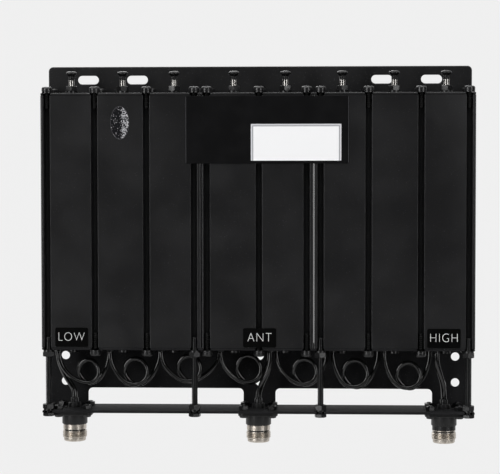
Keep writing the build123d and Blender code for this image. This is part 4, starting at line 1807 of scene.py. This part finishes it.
@dataclass
class Connectors:
    """The three threaded coaxial connectors under the shelf, in millimetres."""

    finishes: Finishes
    fasteners: Fasteners
    threads: bpy.types.NodeTree
    flange: float = 25.4
    flange_thickness: float = 2.4
    flange_corner: float = 3.5
    collar_diameter: float = 16.4
    collar_length: float = 6.8
    neck_diameter: float = 15.0
    lead_in_diameter: float = 14.2
    neck_length: float = 3.4
    relief_diameter: float = 13.0
    relief_length: float = 0.8
    thread_length: float = 4.6
    lead_in: float = 2.3
    mouth_diameter: float = 8.6
    mouth_chamfer: float = 0.9
    spigot_diameter: float = 12.4
    spigot_rise: float = 1.6
    barrel_diameter: float = 8.0
    barrel_rise: float = 3.0
    barrel_bore: float = 5.2
    coupling: Thread = field(default_factory=lambda: Thread(15.875, 1.0583, 0.45, 0.7))
    screw_head: float = 5.5
    screw_head_height: float = 1.4
    screw_core: float = 2.8
    recess_span: float = 2.9
    recess_width: float = 0.75
    recess_depth: float = 0.9
    flange_ease: float = 0.25

    def body_outline(self, seat: float) -> list[tuple[float, float]]:
        """Goes up the outside of the body and back down its bore.

        Args:
            seat: Height of the shelf's underside, in millimetres.

        Returns:
            Radius and height of each point.
        """
        flange_low = seat - self.flange_thickness
        collar_low = flange_low - self.collar_length
        neck_low = collar_low - self.neck_length
        relief_low = neck_low - self.relief_length
        thread_low = relief_low - self.thread_length
        mouth = thread_low - self.lead_in
        core = self.coupling.diameter / 2 - self.coupling.depth - 0.05
        r, neck, ease = self.lead_in_diameter / 2, self.neck_diameter / 2, 0.5
        shelf_top = seat + self.spigot_rise
        return [
            (self.mouth_diameter / 2 + self.mouth_chamfer, mouth),
            (r - ease, mouth),
            (r - 0.12, mouth + ease * 0.7),
            (r, mouth + ease + 0.2),
            (r, thread_low - 0.1),
            (core, thread_low + 0.2),
            (core, relief_low - 0.3),
            (self.relief_diameter / 2, relief_low),
            (self.relief_diameter / 2, neck_low),
            (neck, neck_low + 0.05),
            (neck, collar_low),
            (self.collar_diameter / 2 - ease, collar_low),
            (self.collar_diameter / 2 - 0.12, collar_low + 0.2),
            (self.collar_diameter / 2, collar_low + ease),
            (self.collar_diameter / 2, flange_low + 0.5),
            (self.spigot_diameter / 2, flange_low + 0.5),
            (self.spigot_diameter / 2, shelf_top),
            (self.barrel_diameter / 2, shelf_top),
            (self.barrel_diameter / 2, shelf_top + self.barrel_rise - 0.2),
            (self.barrel_diameter / 2 - 0.2, shelf_top + self.barrel_rise),
            (self.barrel_bore / 2, shelf_top + self.barrel_rise),
            (self.barrel_bore / 2, shelf_top + self.barrel_rise - 1.0),
            (self.mouth_diameter / 2, shelf_top + self.barrel_rise - 1.0),
            (self.mouth_diameter / 2, mouth + self.mouth_chamfer),
        ]

    def flange_plate(self, seat: float) -> bpy.types.Mesh:
        """Makes the square flange with round corners and eased edges.

        Args:
            seat: Height of the shelf's underside, in millimetres.

        Returns:
            The mesh, about the upright axis.
        """
        half, r, steps = self.flange / 2, self.flange_corner, 6

        def outline(inset: float) -> list[tuple[float, float]]:
            """Goes round the rounded square.

            Args:
                inset: How far it is drawn in, in millimetres.

            Returns:
                Its points.
            """
            points = []
            for quarter in range(4):
                corner = math.pi / 4 + quarter * math.pi / 2
                cx = math.copysign(half - r, math.cos(corner))
                cy = math.copysign(half - r, math.sin(corner))
                for step in range(steps + 1):
                    angle = quarter * math.pi / 2 + step * math.pi / (2 * steps)
                    points.append((cx + (r - inset) * math.cos(angle), cy + (r - inset) * math.sin(angle)))
            return points

        ease, low = self.flange_ease, seat - self.flange_thickness
        layers = [(low, ease), (low + ease, 0.0), (seat - ease, 0.0), (seat, ease)]

        def build(work: bmesh.types.BMesh) -> None:
            """Lays the layers from the lower face to the upper one.

            Args:
                work: The empty mesh.
            """
            rings = [
                [work.verts.new((x * MM, y * MM, z * MM)) for x, y in outline(inset)] for z, inset in layers
            ]
            work.faces.new(rings[0][::-1])
            work.faces.new(rings[-1])
            for lower, upper in zip(rings, rings[1:]):
                for i in range(len(lower)):
                    j = (i + 1) % len(lower)
                    work.faces.new((lower[i], lower[j], upper[j], upper[i]))

        return mesh_from("flange", build)

    def build(self) -> None:
        """Builds each connector, then the flanges' screws and nuts."""
        edges = {
            "low": self.finishes.low_edge,
            "antenna": self.finishes.antenna_edge,
            "high": self.finishes.high_edge,
        }
        for port, edge in edges.items():
            node = f"connector_{port}"
            low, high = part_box(node)
            axis = Vector(((low[0] + high[0]) / 2, (low[1] + high[1]) / 2, 0.0))
            seat = high[2] / MM - self.barrel_rise - self.spigot_rise
            thread_low = low[2] / MM + self.lead_in
            relief = thread_low + self.thread_length
            # The relief groove gets painted shade.
            shaded_groove = (relief, relief + self.relief_length)
            finish = MaskedMetal(f"nickel_plate_{port}", edge, shaded_groove=shaded_groove).build()
            foot = Vector((0.0, 0.0, thread_low * MM))
            thread = self.coupling.wound("thread", self.threads, [foot], self.thread_length, finish)
            body = turned("body", self.body_outline(seat), 64, ring=True)
            mesh = joined(f"connector_{port}_body", (body, self.flange_plate(seat), thread))
            mesh.transform(Matrix.Translation(axis))
            dress(shown(mesh, mesh.name), finish, nodes=[node])
        self._flange_fasteners()
        ptfe = Plain("turned_ptfe", "#efede6", "#e2dfd6", 0.5, patch=3.0)
        gold = Plain("gold_plate", "#dcb877", "#c79f58", 0.22, metallic=1.0)
        paint_node("connector_insulators", ptfe.build())
        paint_node("connector_contacts", gold.build())

    def _flange_fasteners(self) -> None:
        """Puts a pan-head screw and a nut through each corner of the flanges."""
        steel, r, h = self.finishes.fastener, self.screw_head / 2, self.screw_head_height
        spans = loose_pieces("flange_screws")
        length = (spans[0].high.z - spans[0].low.z) / MM
        core, tip, chamfer = self.screw_core / 2, h - length, 0.3
        outline = (
            (0, tip),
            (core - chamfer, tip),
            (core, tip + chamfer),
            (core, 0),
            (r, 0),
            (r, h * 0.45),
            (r - 0.15, h * 0.75),
            (r - 0.6, h * 0.95),
            (r - 1.4, h),
            (0, h),
        )
        head = turned("head", outline, 32)
        head = carved(head, cross_recess(self.recess_span, self.recess_width, h, self.recess_depth))
        head.transform(Matrix.Rotation(math.pi, 4, "X"))
        spots = [s.on_axis(s.low.z + h * MM) for s in spans]
        mesh = self.fasteners.place("flange_screws", head, spots, steel, turn=180, seed=21)
        dress(shown(mesh, "flange_screws_dressed"), steel, nodes=["flange_screws"])
        nuts = loose_pieces("flange_nuts")
        height = (nuts[0].high.z - nuts[0].low.z) / MM
        nut = hexagon_nut("nut", self.screw_head, height, self.screw_core - 0.1)
        mesh = self.fasteners.place(
            "flange_nuts", nut, [s.on_axis(s.low.z) for s in nuts], steel, turn=25, seed=22
        )
        dress(shown(mesh, "flange_nuts_dressed"), steel, nodes=["flange_nuts"])


@dataclass(frozen=True)
class Lead:
    """A lead's cavity, counted from nought, and its places and length in millimetres.

    It starts at a shift right of the cavity's middle and back behind the axis. Each bend
    gives a point right of the start, below the cover and behind the axis.
    """

    cell: int
    shift: float
    back: float
    connector: float
    bends: tuple[tuple[float, float, float], ...]
    length: float


@dataclass
class Cables:
    """The looped jumpers between cavities and the three leads, in millimetres."""

    finishes: Finishes
    axis_y: float = -20.0
    cover_bottom: float = -173.85
    straight: float = 6.0
    ferrule: float = 2.0
    jumper_diameter: float = 2.8
    lead_diameter: float = 3.6
    sleeve_top: float = -206.75
    cells: tuple[float, ...] = (-120.45, -87.25, -54.05, -15.55, 17.65, 54.05, 87.25, 120.45)
    # The turn's points: right and up in radii, and the share of its way from front to rear.
    turn: tuple[tuple[float, float, float], ...] = (
        (-0.80, -1.22, 0.0),
        (0.25, -1.30, 0.0),
        (1.02, -0.80, 0.05),
        (1.20, 0.10, 0.15),
        (0.72, 0.98, 0.30),
        (-0.22, 1.20, 0.45),
        (-0.98, 0.62, 0.60),
        (-1.06, -0.25, 0.75),
        (-0.62, -1.02, 0.88),
        (0.12, -1.50, 1.0),
        (0.95, -1.15, 1.0),
    )
    # Each jumper's turn: its middle right of halfway and below the cover, and its radius.
    coils: tuple[tuple[float, float, float], ...] = (
        (2.8, 14.7, 6.1),
        (0.3, 14.6, 6.9),
        (-0.85, 12.5, 6.7),
        (1.6, 13.0, 7.1),
        (1.95, 14.2, 6.7),
        (-0.45, 15.3, 7.1),
        (0.65, 16.4, 6.7),
    )
    jumper_lengths: tuple[float, ...] = (102.7, 109.7, 107.9, 109.1, 108.1, 111.4, 109.7)
    shoulder: float = 0.74
    shoulder_drop: float = 0.35
    # The jumper that goes round behind the antenna lead, and is the last of the left half.
    junction: int = 4
    # How far right of its cavity's middle a jumper leaves it, and how far it reaches the next.
    leaving_left: float = -8.5
    leaving_right: float = -6.0
    arriving: float = -10.0
    # How far behind the cavities' axis those places lie, and the start and end of the turn.
    leaving_back: float = -3.0
    after_junction_back: float = 0.5
    arriving_back: float = 3.0
    turn_back: tuple[float, float] = (-3.5, 1.2)
    junction_turn_back: tuple[float, float] = (0.0, 4.6)
    leads: dict[str, Lead] = field(
        default_factory=lambda: {
            "low": Lead(0, -10.0, 3.0, -119.7, ((4.55, 19.1, 3.0), (9.45, 25.9, 2.6)), 33.5),
            "antenna": Lead(4, -9.65, -3.0, 0.0, ((-2.0, 15.4, -2.6), (-5.4, 21.9, -1.0)), 33.0),
            "high": Lead(7, -6.0, -3.0, 119.7, ((2.45, 16.3, -1.7), (4.65, 23.1, 0.3)), 32.1),
        }
    )
    lead_last_run: float = 3.6
    connector_back: float = 2.0
    line_steps: int = 14
    round_steps: int = 5

    def jumper_route(self, number: int) -> list[Vector]:
        """Points of a jumper: out of one cavity, once round, and into the next.

        Args:
            number: One for the jumper between the first two cavities.

        Returns:
            The points, in metres.
        """
        out_shift = self.leaving_left if number <= self.junction else self.leaving_right
        out_back = self.after_junction_back if number == self.junction + 1 else self.leaving_back
        start_x, end_x = self.cells[number - 1] + out_shift, self.cells[number] + self.arriving
        across, drop, radius = self.coils[number - 1]
        centre_x = (start_x + end_x) / 2 + across
        centre_z = self.cover_bottom - drop
        first, second = self.junction_turn_back if number == self.junction else self.turn_back
        top = self.cover_bottom - self.ferrule
        shoulder_z = centre_z - self.shoulder_drop * radius
        end_back = self.arriving_back
        points = [
            (start_x, top, out_back),
            (start_x, top - self.straight, out_back),
            (centre_x + self.shoulder * (start_x - centre_x), shoulder_z, (out_back + first) / 2),
        ]
        for right, up, share in self.turn:
            back = first + share * (second - first)
            points.append((centre_x + right * radius, centre_z + up * radius, back))
        points += [
            (centre_x + self.shoulder * (end_x - centre_x), shoulder_z, (end_back + second) / 2),
            (end_x, top - self.straight, end_back),
            (end_x, top, end_back),
        ]
        return [Vector((x, self.axis_y + back, z)) * MM for x, z, back in points]

    def lead_route(self, port: str) -> list[Vector]:
        """Points of a lead, from its cavity down to its connector.

        Args:
            port: The connector's port.

        Returns:
            The points, in metres.
        """
        lead = self.leads[port]
        start_x, top = self.cells[lead.cell] + lead.shift, self.cover_bottom - self.ferrule
        points = [(start_x, top, lead.back), (start_x, top - self.straight, lead.back)]
        points += [(start_x + right, self.cover_bottom - drop, behind) for right, drop, behind in lead.bends]
        points += [
            (lead.connector, self.sleeve_top + self.lead_last_run, self.connector_back),
            (lead.connector, self.sleeve_top, self.connector_back),
        ]
        return [Vector((x, self.axis_y + behind, z)) * MM for x, z, behind in points]

    def cable(
        self, name: str, node: str, route: Sequence[Vector], diameter: float
    ) -> None:
        """Args:
            name: The piece's name.
            node: The node that it replaces.
            route: Its control points, in metres.
            diameter: Its diameter, in millimetres.
        """
        line = bpy.data.curves.new(name, "CURVE")
        line.dimensions, line.resolution_u = "3D", self.line_steps
        line.bevel_depth, line.bevel_resolution = diameter / 2 * MM, self.round_steps
        line.use_fill_caps = True
        spline = line.splines.new("NURBS")
        spline.points.add(len(route) - 1)
        for knot, place in zip(spline.points, route):
            knot.co = (*place, 1.0)
        spline.order_u = 3
        spline.use_endpoint_u = True
        spline.resolution_u = self.line_steps
        piece = dress(shown(line, name), self.finishes.jacket, nodes=[node])

    def build(self) -> None:
        """Draws every jumper and lead, and paints their ferrules and sleeves."""
        for number, length in enumerate(self.jumper_lengths, 1):
            route = self.jumper_route(number)
            self.cable(f"jumper_cable_{number}", f"jumper_{number}", route, self.jumper_diameter)
        for port, lead in self.leads.items():
            route = self.lead_route(port)
            self.cable(f"lead_cable_{port}", f"lead_{port}", route, self.lead_diameter)
        for node in ("cable_ferrules", "lead_sleeves"):
            paint_node(node, self.finishes.fastener)


@dataclass
class Plates:
    """Nameplate, port labels and foil oval on the front, in millimetres."""

    panel_x: tuple[float, float] = (-3.95, 53.35)
    panel_z: tuple[float, float] = (-52.8, -29.6)
    letter_height: float = 5.3
    letter_lift: float = 0.45
    # Letters are drawn at this size and thinning, in metres, and then scaled to the word's size.
    drawn_size: float = 0.01
    letter_thinning: float = -0.00028
    letter_relief: float = 0.06
    letter_spacing: float = 1.12
    edge_ease: float = 0.12
    ink: str = "#e4e4e4"
    ink_shade: str = "#d9d9d9"

    def words(self, port: str, word: str, width: float) -> bpy.types.Mesh:
        """Makes a port's printed word on its label.

        Args:
            port: The label's port.
            word: The word.
            width: Its width, in millimetres.

        Returns:
            The mesh, in place.
        """
        low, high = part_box(f"label_{port}")
        text = bpy.data.curves.new(word, "FONT")
        text.body, text.size, text.extrude = word, self.drawn_size, self.letter_relief / 2 * MM
        text.offset = self.letter_thinning
        text.space_character = self.letter_spacing
        mesh = evaluated_mesh(shown(text, word), word)
        xs = [v.co.x for v in mesh.vertices]
        ys = [v.co.y for v in mesh.vertices]
        mesh.transform(Matrix.Translation((-(min(xs) + max(xs)) / 2, -(min(ys) + max(ys)) / 2, 0)))
        scale = (width * MM / (max(xs) - min(xs)), self.letter_height * MM / (max(ys) - min(ys)), 1.0)
        mesh.transform(Matrix.Diagonal((*scale, 1.0)))
        mesh.transform(Matrix.Rotation(math.pi / 2, 4, "X"))
        middle = Vector(((low[0] + high[0]) / 2, low[1], (low[2] + high[2]) / 2 + self.letter_lift * MM))
        mesh.transform(Matrix.Translation(middle))
        return mesh

    def build(self) -> None:
        """Finishes the plates and prints the three words."""
        low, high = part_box("nameplate")
        film_x = (low[0] / MM, high[0] / MM)
        film = PrintedFilm(
            "printed_film", film_x=film_x, panel_x=self.panel_x, panel_z=self.panel_z
        ).build()
        mesh = eased_copy("nameplate", "nameplate_film", self.edge_ease)
        dress(shown(mesh, mesh.name), film, nodes=["nameplate"])
        plain = PrintedFilm(
            "plain_film", colour="#020202", shade="#060606", roughness=0.6, specular=0.04
        ).build()
        ink = Plain("white_ink", self.ink, self.ink_shade, 0.5, relief=0.002).build()
        for port, word, width in (("low", "LOW", 16.7), ("antenna", "ANT", 15.2), ("high", "HIGH", 17.2)):
            label = eased_copy(f"label_{port}", f"label_{port}_film", self.edge_ease)
            dress(shown(label, label.name), plain, nodes=[f"label_{port}"])
            letters = self.words(port, word, width)
            dress(shown(letters, f"label_{port}_word"), ink)
        low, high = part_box("foil_sticker")
        centre = tuple((low[i] + high[i]) / 2 / MM for i in (0, 2))
        half = tuple((high[i] - low[i]) / 2 / MM for i in (0, 2))
        paint_node("foil_sticker", EmbossedFoil("embossed_foil", centre, half).build())


@dataclass
class Cavities:
    """Resonators and coupling loops inside the cavities."""

    def build(self) -> None:
        """Plates the inner conductors and the loops."""
        silver = Plain("silver_plate", "#d6d4cd", "#aaa59a", 0.26, metallic=1.0, patch=9.0).build()
        for node in ("resonators", "coupling_loops"):
            paint_node(node, silver)


def main() -> None:
    """Builds the object and its studio."""
    logging.basicConfig(level=logging.INFO, format="%(message)s")
    finishes = Finishes()
    fine_threads = thread_tree(around=28)
    fasteners = Fasteners(finishes, placed_pieces_tree(), fine_threads)
    for part in (
        Casing(finishes),
        fasteners,
        Tuners(finishes, fasteners),
        Connectors(finishes, fasteners, thread_tree(around=64, rows=8)),
        Cables(finishes),
        Plates(),
        Cavities(),
        Studio(),
    ):
        part.build()
        LOG.info("%s done", type(part).__name__)


if __name__ == "__main__":
    main()
